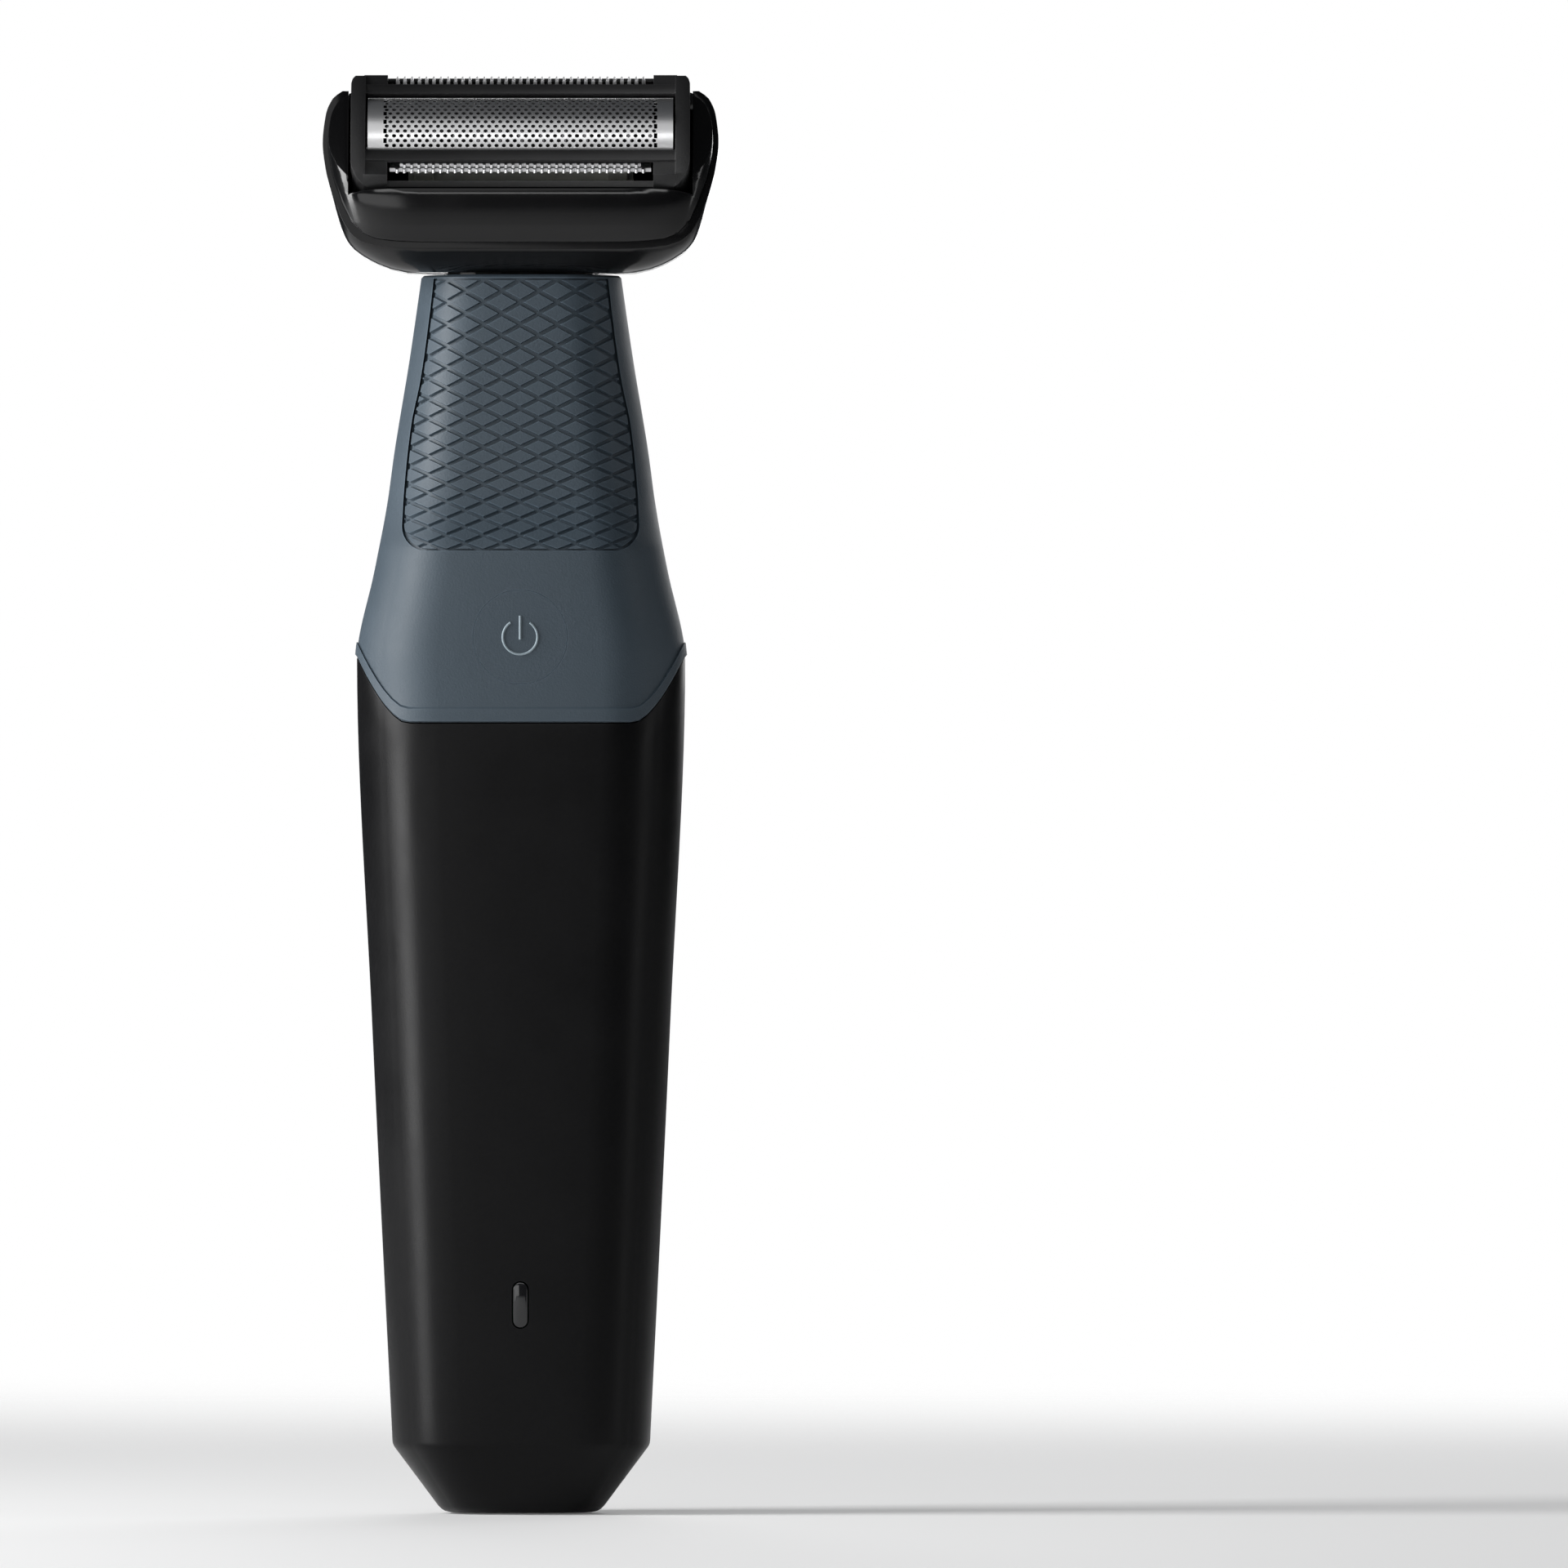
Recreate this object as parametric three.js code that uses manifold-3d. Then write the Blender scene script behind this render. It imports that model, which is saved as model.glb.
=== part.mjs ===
// A cordless body groomer: a faceted handle with a rubber grip, its drive, and a floating shaving head.
// Millimetres. X runs across, the front faces -Y, and Z runs up from the base to the head.
import * as THREE from 'three';
import { mergeVertices } from 'three/addons/utils/BufferGeometryUtils.js';
import Module from 'manifold-3d';

const wasm = await Module();
wasm.setup();

// ---------- Driving dimensions ----------
const GRIP_TOP = 157.6; // base to the top of the grip, where the head starts
const BODY_WIDTH = 41.8; // widest place, at the shoulder
const BASE_BEVEL = 8.6; // height of the bevelled base
const SEAM_DROP = 8.5; // how much lower the seam is across the front and the back than at the sides
const FACET = 7; // depth of the slanted facets beside the front and back panels
const WALL = 1.8; // lower housing
const RUBBER = 1.2; // soft grip
const CORE_WALL = 1.5; // hard shell under the rubber
const GAP = 0.3; // between pieces that meet
const SEAM_GAP = 0.5; // between the housing and the grip
const RUNNING = 0.06; // radial clearance of a piece that turns on its pin

const BUTTON_RADIUS = 6;
const BUTTON_THICK = 1.4;
const BUTTON_TRAVEL = 0.7;
const LIGHT_HEIGHT = 26.6; // base to the middle of the charging light
const LIGHT_WIDTH = 1.9;
const LIGHT_LENGTH = 5.8;
const INLET_WIDTH = 7.4; // inside the charging inlet
const INLET_DEPTH = 5.4;
const INLET_REACH = 7;
const INLET_WALL = 0.9;
const INLET_PIN_RADIUS = 0.6;
const BATTERY_RADIUS = 7;
const BATTERY_LENGTH = 50;
const BATTERY_LOW = 17;
const PLATE_THICK = 1.2; // chassis back plate and circuit board
const BOARD_WIDTH = 15;
const SWITCH_HEIGHT = 1.8;
const MOTOR_RADIUS = 7.3;
const DEPTH_MARGIN = 17.8; // handle beyond the motor, front and back together
const BODY_DEPTH = 2 * MOTOR_RADIUS + DEPTH_MARGIN; // deepest place, at the shoulder
const MOTOR_LENGTH = 20;
const MOTOR_DEPTH = 21; // top of the motor below the top of the grip
const SHAFT_RADIUS = 0.9;
const CRANK_PIN_RADIUS = 0.7;
const STROKE = 1; // of the cutters, each way
const MOTOR_ROOM = 1.7; // between the motor and the front of the neck
const PIVOT_DEPTH = 1; // lever pivot below the top of the grip
const LEVER_REACH = 10.4; // pivot to the place where the carrier takes the lever's finger
const LEVER_THICK = 3;
const PIVOT_RADIUS = 1;
const COLLAR_RISE = 5.4; // of the neck collar above the grip

const HEAD_HEIGHT = 23.1;
const HEAD_WALL = 1.6;
const HEAD_LEAN = 30; // degrees that the shaving face leans back from upright
const FACE_FORWARD = 12; // middle of the face, in front of the handle's middle
const FACE_RISE = 18.9; // and above the top of the grip
const FACE_LEVEL = -1.2; // bezel's flat, below the face
const BEZEL_STEP = 0.9; // bezel's outline inside the casing's
const SPLIT_TILT = 12.2; // degrees between the casing's rim and the face
const SPLIT_LEVEL = -2.88;

const FOIL_LENGTH = 38.8;
const HEAD_MARGIN = 11.6; // head beyond the foil, both sides together
const HEAD_WIDTH = FOIL_LENGTH + HEAD_MARGIN;
const FOIL_RADIUS = 5.5;
const FOIL_CROWN = 2; // height of the foil's crown above the face
const FOIL_THICK = 0.25;
const FOIL_SPREAD = 45; // degrees each side of the crown
const FRAME_HALF_HEIGHT = 8.3; // cassette frame, up and down the face
const FRAME_BACK = -6;
const FRAME_CORNER = 2.6;
const END_WALL = 1.9;
const EAR_WIDTH = 2.5;
const FLOAT_TRAVEL = 1.2;
const TRIMMER_ANGLE = 40; // degrees between each trimmer and straight out of the face
const TRIMMER_TIP = [7.2, 0.2]; // up the face, and out of it
const TRIMMER_DEPTH = 5.5;
const COMB_THICK = 0.45;
const BLADE_THICK = 0.4;
const BLADE_GAP = 0.15;
const TOOTH_PITCH = 0.92;
const TOOTH_HEIGHT = 1.3;
const CUTTER_FINS = 13;
const SPRING_LOW = -12.3;
const SPRING_RADIUS = 1.1;
const SPRING_WIRE = 0.2;

// ---------- Materials ----------
const finish = (color, roughness, metalness = 0) =>
  new THREE.MeshStandardMaterial({ color, roughness, metalness });
const SATIN_BLACK = finish(0x101012, 0.4);
const GREY_RUBBER = finish(0x3d474f, 0.65);
const GLOSS_BLACK = finish(0x0a0a0b, 0.2);
const CASSETTE_BLACK = finish(0x161617, 0.5);
const STEEL = finish(0xc9cbcd, 0.25, 1);
const NATURAL_PLASTIC = finish(0xd8d8d4, 0.5);
const BOARD_GREEN = finish(0x14532d, 0.5);
const CELL_WRAP = finish(0x1f4f8a, 0.4);
const SEAL_RUBBER = finish(0x1b1b1b, 0.85);

// ---------- Helpers ----------
const RAD = Math.PI / 180;
const lerp = (a, b, t) => a + (b - a) * t;
const clamp01 = (t) => Math.min(1, Math.max(0, t));

// The value at s of a curve through rows of [station, value] that never overshoots them.
function through(rows, s) {
  const n = rows.length;
  if (s <= rows[0][0]) return rows[0][1];
  if (s >= rows[n - 1][0]) return rows[n - 1][1];
  const rise = (k) => (rows[k + 1][1] - rows[k][1]) / (rows[k + 1][0] - rows[k][0]);
  const slope = (k) => {
    if (k === 0 || k === n - 1) return rise(Math.min(k, n - 2));
    const [a, b] = [rise(k - 1), rise(k)];
    return a * b <= 0 ? 0 : (2 * a * b) / (a + b);
  };
  let k = 0;
  while (s > rows[k + 1][0]) k += 1;
  const h = rows[k + 1][0] - rows[k][0];
  const t = (s - rows[k][0]) / h;
  return (
    rows[k][1] * (1 + 2 * t) * (1 - t) ** 2 +
    slope(k) * h * t * (1 - t) ** 2 +
    rows[k + 1][1] * t ** 2 * (3 - 2 * t) +
    slope(k + 1) * h * t ** 2 * (t - 1)
  );
}

// A closed surface through rings of points. A loop joins its last ring to its first, and a stack
// is capped by fans.
function skin(rings, kind = 'stack') {
  const n = rings[0].length;
  const points = rings.flat();
  const faces = [];
  const last = rings.length - (kind === 'loop' ? 0 : 1);
  for (let i = 0; i < last; i += 1) {
    const [p, q] = [i * n, ((i + 1) % rings.length) * n];
    for (let j = 0; j < n; j += 1) {
      const k = (j + 1) % n;
      faces.push([p + j, p + k, q + k], [p + j, q + k, q + j]);
    }
  }
  if (kind !== 'loop') {
    [[0, true], [rings.length - 1, false]].forEach(([i, first]) => {
      const middle = points.length;
      points.push([0, 1, 2].map((c) => rings[i].reduce((sum, p) => sum + p[c], 0) / n));
      for (let j = 0; j < n; j += 1) {
        const k = (j + 1) % n;
        faces.push(first ? [i * n + k, i * n + j, middle] : [i * n + j, i * n + k, middle]);
      }
    });
  }
  const volume = faces.reduce((sum, [a, b, c]) => {
    const [p, q, r] = [points[a], points[b], points[c]];
    const cross = [q[1] * r[2] - q[2] * r[1], q[2] * r[0] - q[0] * r[2], q[0] * r[1] - q[1] * r[0]];
    return sum + p[0] * cross[0] + p[1] * cross[1] + p[2] * cross[2];
  }, 0);
  const index = faces.flatMap(([a, b, c]) => (volume < 0 ? [a, c, b] : [a, b, c]));
  const geometry = new THREE.BufferGeometry();
  geometry.setAttribute('position', new THREE.Float32BufferAttribute(points.flat(), 3));
  geometry.setIndex(index);
  return geometry;
}

function toSolid(geometry) {
  const bare = geometry.clone();
  bare.deleteAttribute('normal');
  bare.deleteAttribute('uv');
  const merged = mergeVertices(bare, 1e-4);
  return new wasm.Manifold(
    new wasm.Mesh({
      numProp: 3,
      vertProperties: new Float32Array(merged.attributes.position.array),
      triVerts: new Uint32Array(merged.index.array),
    }),
  );
}

function toGeometry(solid) {
  const made = solid.getMesh();
  const geometry = new THREE.BufferGeometry();
  geometry.setAttribute('position', new THREE.Float32BufferAttribute(made.vertProperties, 3));
  geometry.setIndex(new THREE.BufferAttribute(made.triVerts, 1));
  return geometry;
}

const cut = (geometry, ...tools) =>
  toGeometry(tools.reduce((solid, tool) => solid.subtract(toSolid(tool)), toSolid(geometry)));
const join = (first, ...others) =>
  toGeometry(others.reduce((solid, other) => solid.add(toSolid(other)), toSolid(first)));
const meet = (a, b) => toGeometry(toSolid(a).intersect(toSolid(b)));

// A box from its lowest to its highest corner.
const block = (lo, hi) =>
  new THREE.BoxGeometry(hi[0] - lo[0], hi[1] - lo[1], hi[2] - lo[2]).translate(
    (lo[0] + hi[0]) / 2, (lo[1] + hi[1]) / 2, (lo[2] + hi[2]) / 2,
  );

// A turned piece along an axis: rows of [distance along the axis, radius], which start and end at
// radius 0 or close on themselves.
function turned(rows, axis = 'z', segments = 28) {
  const geometry = new THREE.LatheGeometry(rows.map(([s, r]) => new THREE.Vector2(r, s)), segments);
  if (axis === 'x') geometry.rotateZ(-Math.PI / 2);
  if (axis === 'z') geometry.rotateX(Math.PI / 2);
  return geometry;
}

const rod = (from, to, radius, axis = 'z', segments = 28) =>
  turned([[from, 0], [from, radius], [to, radius], [to, 0]], axis, segments);

// A washer or sleeve; the profile closes on itself.
const sleeve = (from, to, inner, outer, axis = 'z', segments = 28) =>
  turned([[from, inner], [from, outer], [to, outer], [to, inner], [from, inner]], axis, segments);

// A flat outline in X and Y, from one height to another.
function slab(outline, from, to) {
  const shape = new THREE.Shape(outline.map(([x, y]) => new THREE.Vector2(x, y)));
  return new THREE.ExtrudeGeometry(shape, { depth: to - from, bevelEnabled: false }).translate(0, 0, from);
}

// A slab whose outline lies in Y and Z, with its thickness along X.
const basis = (...axes) => new THREE.Matrix4().makeBasis(...axes.map((axis) => new THREE.Vector3(...axis)));
const sideSlab = (outline, from, to) =>
  slab(outline, from, to).applyMatrix4(basis([0, 1, 0], [0, 0, 1], [1, 0, 0]));

// A spring along Z.
function coil(from, to, radius, wire, turns) {
  const steps = turns * 8;
  const points = [];
  for (let i = 0; i <= steps; i += 1) {
    const angle = (i / steps) * turns * 2 * Math.PI;
    const height = lerp(from, to, i / steps);
    points.push(new THREE.Vector3(radius * Math.cos(angle), radius * Math.sin(angle), height));
  }
  const section = new THREE.Shape();
  section.absarc(0, 0, wire, 0, 2 * Math.PI);
  return new THREE.ExtrudeGeometry(section, {
    steps, curveSegments: 3, bevelEnabled: false, extrudePath: new THREE.CatmullRomCurve3(points),
  });
}

// The outline of a box with rounded sides: half sizes, and how square its corners are.
function roundedBox(halfX, low, high, squareLow, squareHigh, count) {
  const points = [];
  const middle = (low + high) / 2;
  for (let j = 0; j < count; j += 1) {
    const angle = (j / count) * 2 * Math.PI;
    const [c, s] = [Math.cos(angle), Math.sin(angle)];
    const square = s < 0 ? squareLow : squareHigh;
    const reach = (Math.abs(c) ** square + Math.abs(s) ** square) ** (-1 / square);
    points.push([halfX * c * reach, middle + ((high - low) / 2) * s * reach]);
  }
  return points;
}

// An outline in X and Z, with its thickness along Y.
const frontSlab = (outline, from, to) =>
  slab(outline, -to, -from).applyMatrix4(basis([1, 0, 0], [0, 0, 1], [0, -1, 0]));

const SIDES = [['left', -1], ['right', 1]];
const root = new THREE.Group();

function place(group, name, geometry, material, at = [0, 0, 0]) {
  const mesh = new THREE.Mesh(geometry, material.clone());
  mesh.name = name;
  mesh.position.set(...at);
  group.add(mesh);
}

// ---------- The handle's outer shape ----------
// Rows of [share of the grip's top, share of the half width or of the half depth].
const WIDTH_SHARES = [
  [0.0546, 0.785], [0.397, 0.909], [0.692, 1], [0.7, 0.995], [0.76, 0.895],
  [0.815, 0.818], [0.857, 0.775], [0.935, 0.679], [1, 0.608],
];
const REAR_SHARES = [
  [0.0546, 0.753], [0.38, 0.87], [0.666, 1], [0.71, 1], [0.761, 0.95], [0.888, 0.78], [1, 0.69],
];
const PANEL_SHARE = 0.69; // of the half width, at the front and back panels
const BASE_SHRINK = 0.61; // the end face against the body above the bevel
const CORNER_POINTS = 3;
const CORNER_REACH = 4;
const SHOULDER = 0.692 * GRIP_TOP;
const coreInset = RUBBER + GAP;
const insideInset = coreInset + CORE_WALL; // the space inside the grip

// The chassis plate hangs on the back wall, the motor lies against it, and the neck's front clears
// the motor.
const rearAt = (z, inset) => (through(REAR_SHARES, z / GRIP_TOP) * BODY_DEPTH) / 2 - inset;
const halfAt = (z, inset) => (through(WIDTH_SHARES, z / GRIP_TOP) * BODY_WIDTH) / 2 - inset;
const motorTop = GRIP_TOP - MOTOR_DEPTH;
const motorLow = motorTop - MOTOR_LENGTH;
const batteryTop = BATTERY_LOW + BATTERY_LENGTH;
const chassisLow = BATTERY_LOW - 4;
const chassisTop = motorTop - 5;
const chassisRear = Math.min(rearAt(chassisLow, WALL), rearAt(chassisTop, insideInset)) - 2 * GAP;
const plateFront = chassisRear - PLATE_THICK;
const CHASSIS_SHARE = 0.85; // of the back panel's width
const chassisRoom = Math.min(halfAt(chassisLow, WALL), halfAt(chassisTop, insideInset));
const chassisHalf = CHASSIS_SHARE * PANEL_SHARE * chassisRoom;
const BATTERY_Y = plateFront - GAP - BATTERY_RADIUS;
const DRIVE_Y = plateFront - GAP - MOTOR_RADIUS; // line of the motor and the lever
const neckFront = (2 * (MOTOR_RADIUS - DRIVE_Y + insideInset + MOTOR_ROOM)) / BODY_DEPTH;
const SCOOP_TOP = 0.98;
const FRONT_SHARES = [
  [0.0546, 0.753], [0.397, 0.895], [0.666, 0.99], [0.711, 1], [0.755, 0.995], [0.777, SCOOP_TOP],
  [0.8, lerp(neckFront, SCOOP_TOP, 0.585)], [0.825, lerp(neckFront, SCOOP_TOP, 0.233)], [0.876, neckFront],
  [0.952, 0.945 * neckFront], [1, 0.93 * neckFront],
];
const SEAM_EASE = 1.6; // how gently the seam leaves the front panel

function extent(z, inset = 0) {
  const share = Math.max(z, BASE_BEVEL) / GRIP_TOP;
  const grow = lerp(BASE_SHRINK, 1, clamp01(z / BASE_BEVEL));
  return {
    grow,
    half: (through(WIDTH_SHARES, share) * BODY_WIDTH * grow) / 2 - inset,
    front: inset - (through(FRONT_SHARES, share) * BODY_DEPTH * grow) / 2,
    rear: (through(REAR_SHARES, share) * BODY_DEPTH * grow) / 2 - inset,
  };
}

// The section at a height: an eight-sided outline of [x, y] points with rounded corners, moved
// inwards by inset.
function section(z, inset = 0) {
  const { grow, half, front, rear } = extent(z, inset);
  const panel = half * PANEL_SHARE;
  const drop = Math.min(FACET * grow, 0.33 * (rear - front));
  const corners = [
    [-panel, front], [panel, front], [half, front + drop], [half, rear - drop],
    [panel, rear], [-panel, rear], [-half, rear - drop], [-half, front + drop],
  ];
  return corners.flatMap((corner, i) => {
    const towards = (other) => {
      const length = Math.hypot(other[0] - corner[0], other[1] - corner[1]);
      const t = Math.min(0.42 * length, CORNER_REACH) / length;
      return [lerp(corner[0], other[0], t), lerp(corner[1], other[1], t)];
    };
    const from = towards(corners[(i + 7) % 8]);
    const to = towards(corners[(i + 1) % 8]);
    return Array.from({ length: CORNER_POINTS }, (_, k) => {
      const t = k / (CORNER_POINTS - 1);
      return [0, 1].map((c) => from[c] * (1 - t) ** 2 + 2 * corner[c] * t * (1 - t) + to[c] * t ** 2);
    });
  });
}

// The seam between the housing and the grip climbs from the panels to the sides.
function seamAt(x) {
  const half = BODY_WIDTH / 2;
  const panel = half * PANEL_SHARE;
  const climb = clamp01((Math.abs(x) - panel) / (half - panel)) ** SEAM_EASE;
  return SHOULDER - SEAM_DROP * (1 - climb);
}

const ring = (z, inset = 0) => section(z, inset).map(([x, y]) => [x, y, z]);
const seamRing = (offset, inset = 0) =>
  section(SHOULDER, inset).map(([x], j) => {
    const z = seamAt(x) + offset;
    const [px, py] = section(z, inset)[j];
    return [px, py, z];
  });

// ---------- Housing and grip ----------
const seamFront = SHOULDER - SEAM_DROP;
const housingStations = [0.25, 0.5, 0.75, 0.96].map((t) => lerp(BASE_BEVEL, seamFront, t));
const inletHalf = [INLET_WIDTH / 2 + INLET_WALL, INLET_DEPTH / 2 + INLET_WALL];

function lightPill(grow) {
  const radius = LIGHT_WIDTH / 2 + grow;
  const straight = (LIGHT_LENGTH - LIGHT_WIDTH) / 2;
  return Array.from({ length: 16 }, (_, k) => {
    const angle = ((k + 0.5) / 16) * 2 * Math.PI;
    const rise = Math.sign(Math.sin(angle)) * straight + radius * Math.sin(angle);
    return [radius * Math.cos(angle), LIGHT_HEIGHT + rise];
  });
}

const lightFront = extent(LIGHT_HEIGHT).front;
function lowerHousing() {
  const rim = [0, RUBBER, WALL].map((inset) => seamRing(-SEAM_GAP / 2, inset));
  const outside = [0, 0.9, BASE_BEVEL, ...housingStations].map((z) => ring(z));
  const inside = [WALL, BASE_BEVEL, ...housingStations].map((z) => ring(z, WALL));
  const cup = skin([...outside, ...rim, ...inside.reverse()]);
  const [hx, hy] = inletHalf.map((h) => h + GAP);
  const inletHole = block([-hx, -hy, -1], [hx, hy, WALL + 1]);
  return cut(cup, inletHole, frontSlab(lightPill(GAP / 2), lightFront - 2, lightFront + 2 * WALL));
}
place(root, 'lower_housing', lowerHousing(), SATIN_BLACK);

const GRIP_SHARES = [0.72, 0.755, 0.777, 0.788, 0.8, 0.8125, 0.825, 0.85, 0.89, 0.94];
const gripStations = GRIP_SHARES.map((share) => share * GRIP_TOP);
const BUTTON_HEIGHT = SHOULDER + 2.4;
const buttonFront = extent(BUTTON_HEIGHT).front;
const buttonHole = () =>
  rod(buttonFront - 2, buttonFront + 8, BUTTON_RADIUS + GAP, 'y', 32).translate(0, 0, BUTTON_HEIGHT);
function gripShell(inset, wall, top) {
  const stations = gripStations.filter((z) => z < top - 1);
  const rings = (depth) => [seamRing(SEAM_GAP / 2, depth), ...[...stations, top].map((z) => ring(z, depth))];
  return cut(skin([...rings(inset), ...rings(inset + wall).reverse()], 'loop'), buttonHole());
}
const SEAL_HEIGHT = 1.2;
const coreTop = GRIP_TOP - SEAL_HEIGHT - GAP;
place(root, 'soft_grip', gripShell(0, RUBBER, GRIP_TOP), GREY_RUBBER);
place(root, 'grip_core', gripShell(coreInset, CORE_WALL, coreTop), CASSETTE_BLACK);

// Gaskets: along the seam inside the housing, and under the head.
// The seam's gasket lies against the housing below and steps in behind the grip core above, so that
// it covers the gap between them. Rows of [height from the seam, inset].
const SEAL_THICK = 0.9;
const SEAL_LOW = -3;
const SEAL_HIGH = 2;
const sealStep = insideInset + GAP;
const sealInside = sealStep + SEAL_THICK;
const sealCorners = [
  [SEAL_LOW, WALL + GAP], [SEAM_GAP / 2 - GAP, WALL + GAP], [SEAM_GAP / 2 - GAP, sealStep],
  [SEAL_HIGH, sealStep], [SEAL_HIGH, sealInside], [SEAL_LOW, sealInside],
];
place(root, 'seam_seal', skin(sealCorners.map((corner) => seamRing(...corner)), 'loop'), SEAL_RUBBER);
const neckRing = (z, inset) => section(GRIP_TOP, inset).map(([x, y]) => [x, y, z]);
const [neckSealLow, neckSealHigh] = [GRIP_TOP - SEAL_HEIGHT, GRIP_TOP - 0.05];
place(root, 'neck_seal',
  skin([neckRing(neckSealLow, coreInset), neckRing(neckSealHigh, coreInset),
    neckRing(neckSealHigh, insideInset), neckRing(neckSealLow, insideInset)], 'loop'), SEAL_RUBBER);

// ---------- Charging inlet ----------
const inletTop = GAP + INLET_REACH + 2;
const INLET_PIN_SPACING = 3.4;
const inletPinLow = INLET_REACH - 2.2;
const inletPins = SIDES.map(([, side]) => (side * INLET_PIN_SPACING) / 2);
place(root, 'charge_inlet',
  cut(
    block([-inletHalf[0], -inletHalf[1], 0.25], [inletHalf[0], inletHalf[1], inletTop]),
    block([-INLET_WIDTH / 2, -INLET_DEPTH / 2, -1], [INLET_WIDTH / 2, INLET_DEPTH / 2, INLET_REACH]),
    ...inletPins.map((x) =>
      rod(INLET_REACH - 1, inletTop + 1, INLET_PIN_RADIUS + GAP, 'z', 12).translate(x, 0, 0)),
  ), CASSETTE_BLACK);
SIDES.forEach(([word], k) => {
  const pin = rod(inletPinLow, inletTop + 1.5, INLET_PIN_RADIUS, 'z', 12);
  place(root, `inlet_pin_${word}`, pin, STEEL, [inletPins[k], 0, 0]);
});
const INLET_SEAL_WIDTH = 1.2;
const sealHole = inletHalf.map((half) => half + GAP);
const sealEdge = sealHole.map((half) => half + INLET_SEAL_WIDTH);
const mirrored = (half, low, high) => block([...half.map((v) => -v), low], [...half, high]);
place(root, 'inlet_seal',
  cut(mirrored(sealEdge, WALL + GAP, WALL + 1.5), mirrored(sealHole, 0, 2 * WALL + 2)), SEAL_RUBBER);

// ---------- Battery, chassis and electronics ----------
place(root, 'battery_cell',
  turned([[BATTERY_LOW, 0], [BATTERY_LOW, BATTERY_RADIUS - 0.6], [BATTERY_LOW + 0.6, BATTERY_RADIUS],
    [batteryTop - 1.6, BATTERY_RADIUS], [batteryTop - 1, BATTERY_RADIUS - 0.6], [batteryTop - 1, 2.6],
    [batteryTop, 2.6], [batteryTop, 0]]), CELL_WRAP, [0, BATTERY_Y, 0]);
[['negative', BATTERY_LOW - GAP - 0.5], ['positive', batteryTop + GAP]].forEach(([word, z]) => {
  place(root, `battery_tab_${word}`, block([-3, BATTERY_Y - 6, z], [3, BATTERY_Y + 5, z + 0.5]), STEEL);
});

const shelfFront = BATTERY_Y - BATTERY_RADIUS + 1;
const SCREW_HEIGHT = (batteryTop + motorLow) / 2;
const CHASSIS_SCREW_X = 5;
function chassis() {
  const plate = block([-chassisHalf, plateFront, chassisLow], [chassisHalf, chassisRear, chassisTop]);
  const shelves = [BATTERY_LOW - 2.5, batteryTop + 1.1].map((z) =>
    block([-chassisHalf, shelfFront, z], [chassisHalf, plateFront + 0.2, z + 1.4]));
  const holes = SIDES.map(([, side]) =>
    rod(plateFront - 1, chassisRear + 1, 0.8 + GAP, 'y', 12)
      .translate(side * CHASSIS_SCREW_X, 0, SCREW_HEIGHT));
  return cut(join(plate, ...shelves), ...holes);
}
place(root, 'chassis', chassis(), NATURAL_PLASTIC);
SIDES.forEach(([word, side]) => {
  const screw = turned([[plateFront - 1.5, 0], [plateFront - 1.5, 1.5], [plateFront - GAP, 1.5],
    [plateFront - GAP, 0.8], [chassisRear + 1.4, 0.8], [chassisRear + 1.4, 0]], 'y', 14);
  place(root, `chassis_screw_${word}`, screw, STEEL, [side * CHASSIS_SCREW_X, 0, SCREW_HEIGHT]);
});

const boardRear = Math.min(BATTERY_Y - BATTERY_RADIUS - 1.5, DRIVE_Y - MOTOR_RADIUS - 0.9);
const boardFront = boardRear - PLATE_THICK;
const onBoard = boardFront - 0.1;
const boardLow = LIGHT_HEIGHT - 5;
const boardHigh = BUTTON_HEIGHT + 5.5;
place(root, 'circuit_board',
  block([-BOARD_WIDTH / 2, boardFront, boardLow], [BOARD_WIDTH / 2, boardRear, boardHigh]), BOARD_GREEN);
place(root, 'tact_switch',
  block([-3, onBoard - SWITCH_HEIGHT, BUTTON_HEIGHT - 3], [3, onBoard, BUTTON_HEIGHT + 3]), STEEL);
place(root, 'control_chip',
  block([-3.5, onBoard - 1, BUTTON_HEIGHT - 32], [3.5, onBoard, BUTTON_HEIGHT - 25]), SEAL_RUBBER);
place(root, 'charge_led',
  block([-0.8, onBoard - 1, LIGHT_HEIGHT - 1.2], [0.8, onBoard, LIGHT_HEIGHT + 1.2]), NATURAL_PLASTIC);
place(root, 'light_pipe', frontSlab(lightPill(0), lightFront + 0.2, onBoard - 1 - GAP), GLOSS_BLACK);

// ---------- Power button ----------
const capBack = buttonFront + BUTTON_THICK;
place(root, 'button_cap',
  turned([[buttonFront, 0], [buttonFront, BUTTON_RADIUS - 0.4], [buttonFront + 0.4, BUTTON_RADIUS],
    [capBack, BUTTON_RADIUS], [capBack, 0]], 'y', 32), GREY_RUBBER, [0, 0, BUTTON_HEIGHT]);
const plungerTip = onBoard - SWITCH_HEIGHT - BUTTON_TRAVEL - 0.2;
const flangeFront = buttonFront + insideInset + 2 * GAP;
place(root, 'button_plunger',
  turned([[capBack + GAP, 0], [capBack + GAP, 4], [flangeFront, 4], [flangeFront, BUTTON_RADIUS + 1],
    [flangeFront + 0.8, BUTTON_RADIUS + 1], [flangeFront + 0.8, 1.4], [plungerTip, 1.4],
    [plungerTip, 0]], 'y', 24),
  NATURAL_PLASTIC, [0, 0, BUTTON_HEIGHT]);

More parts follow.
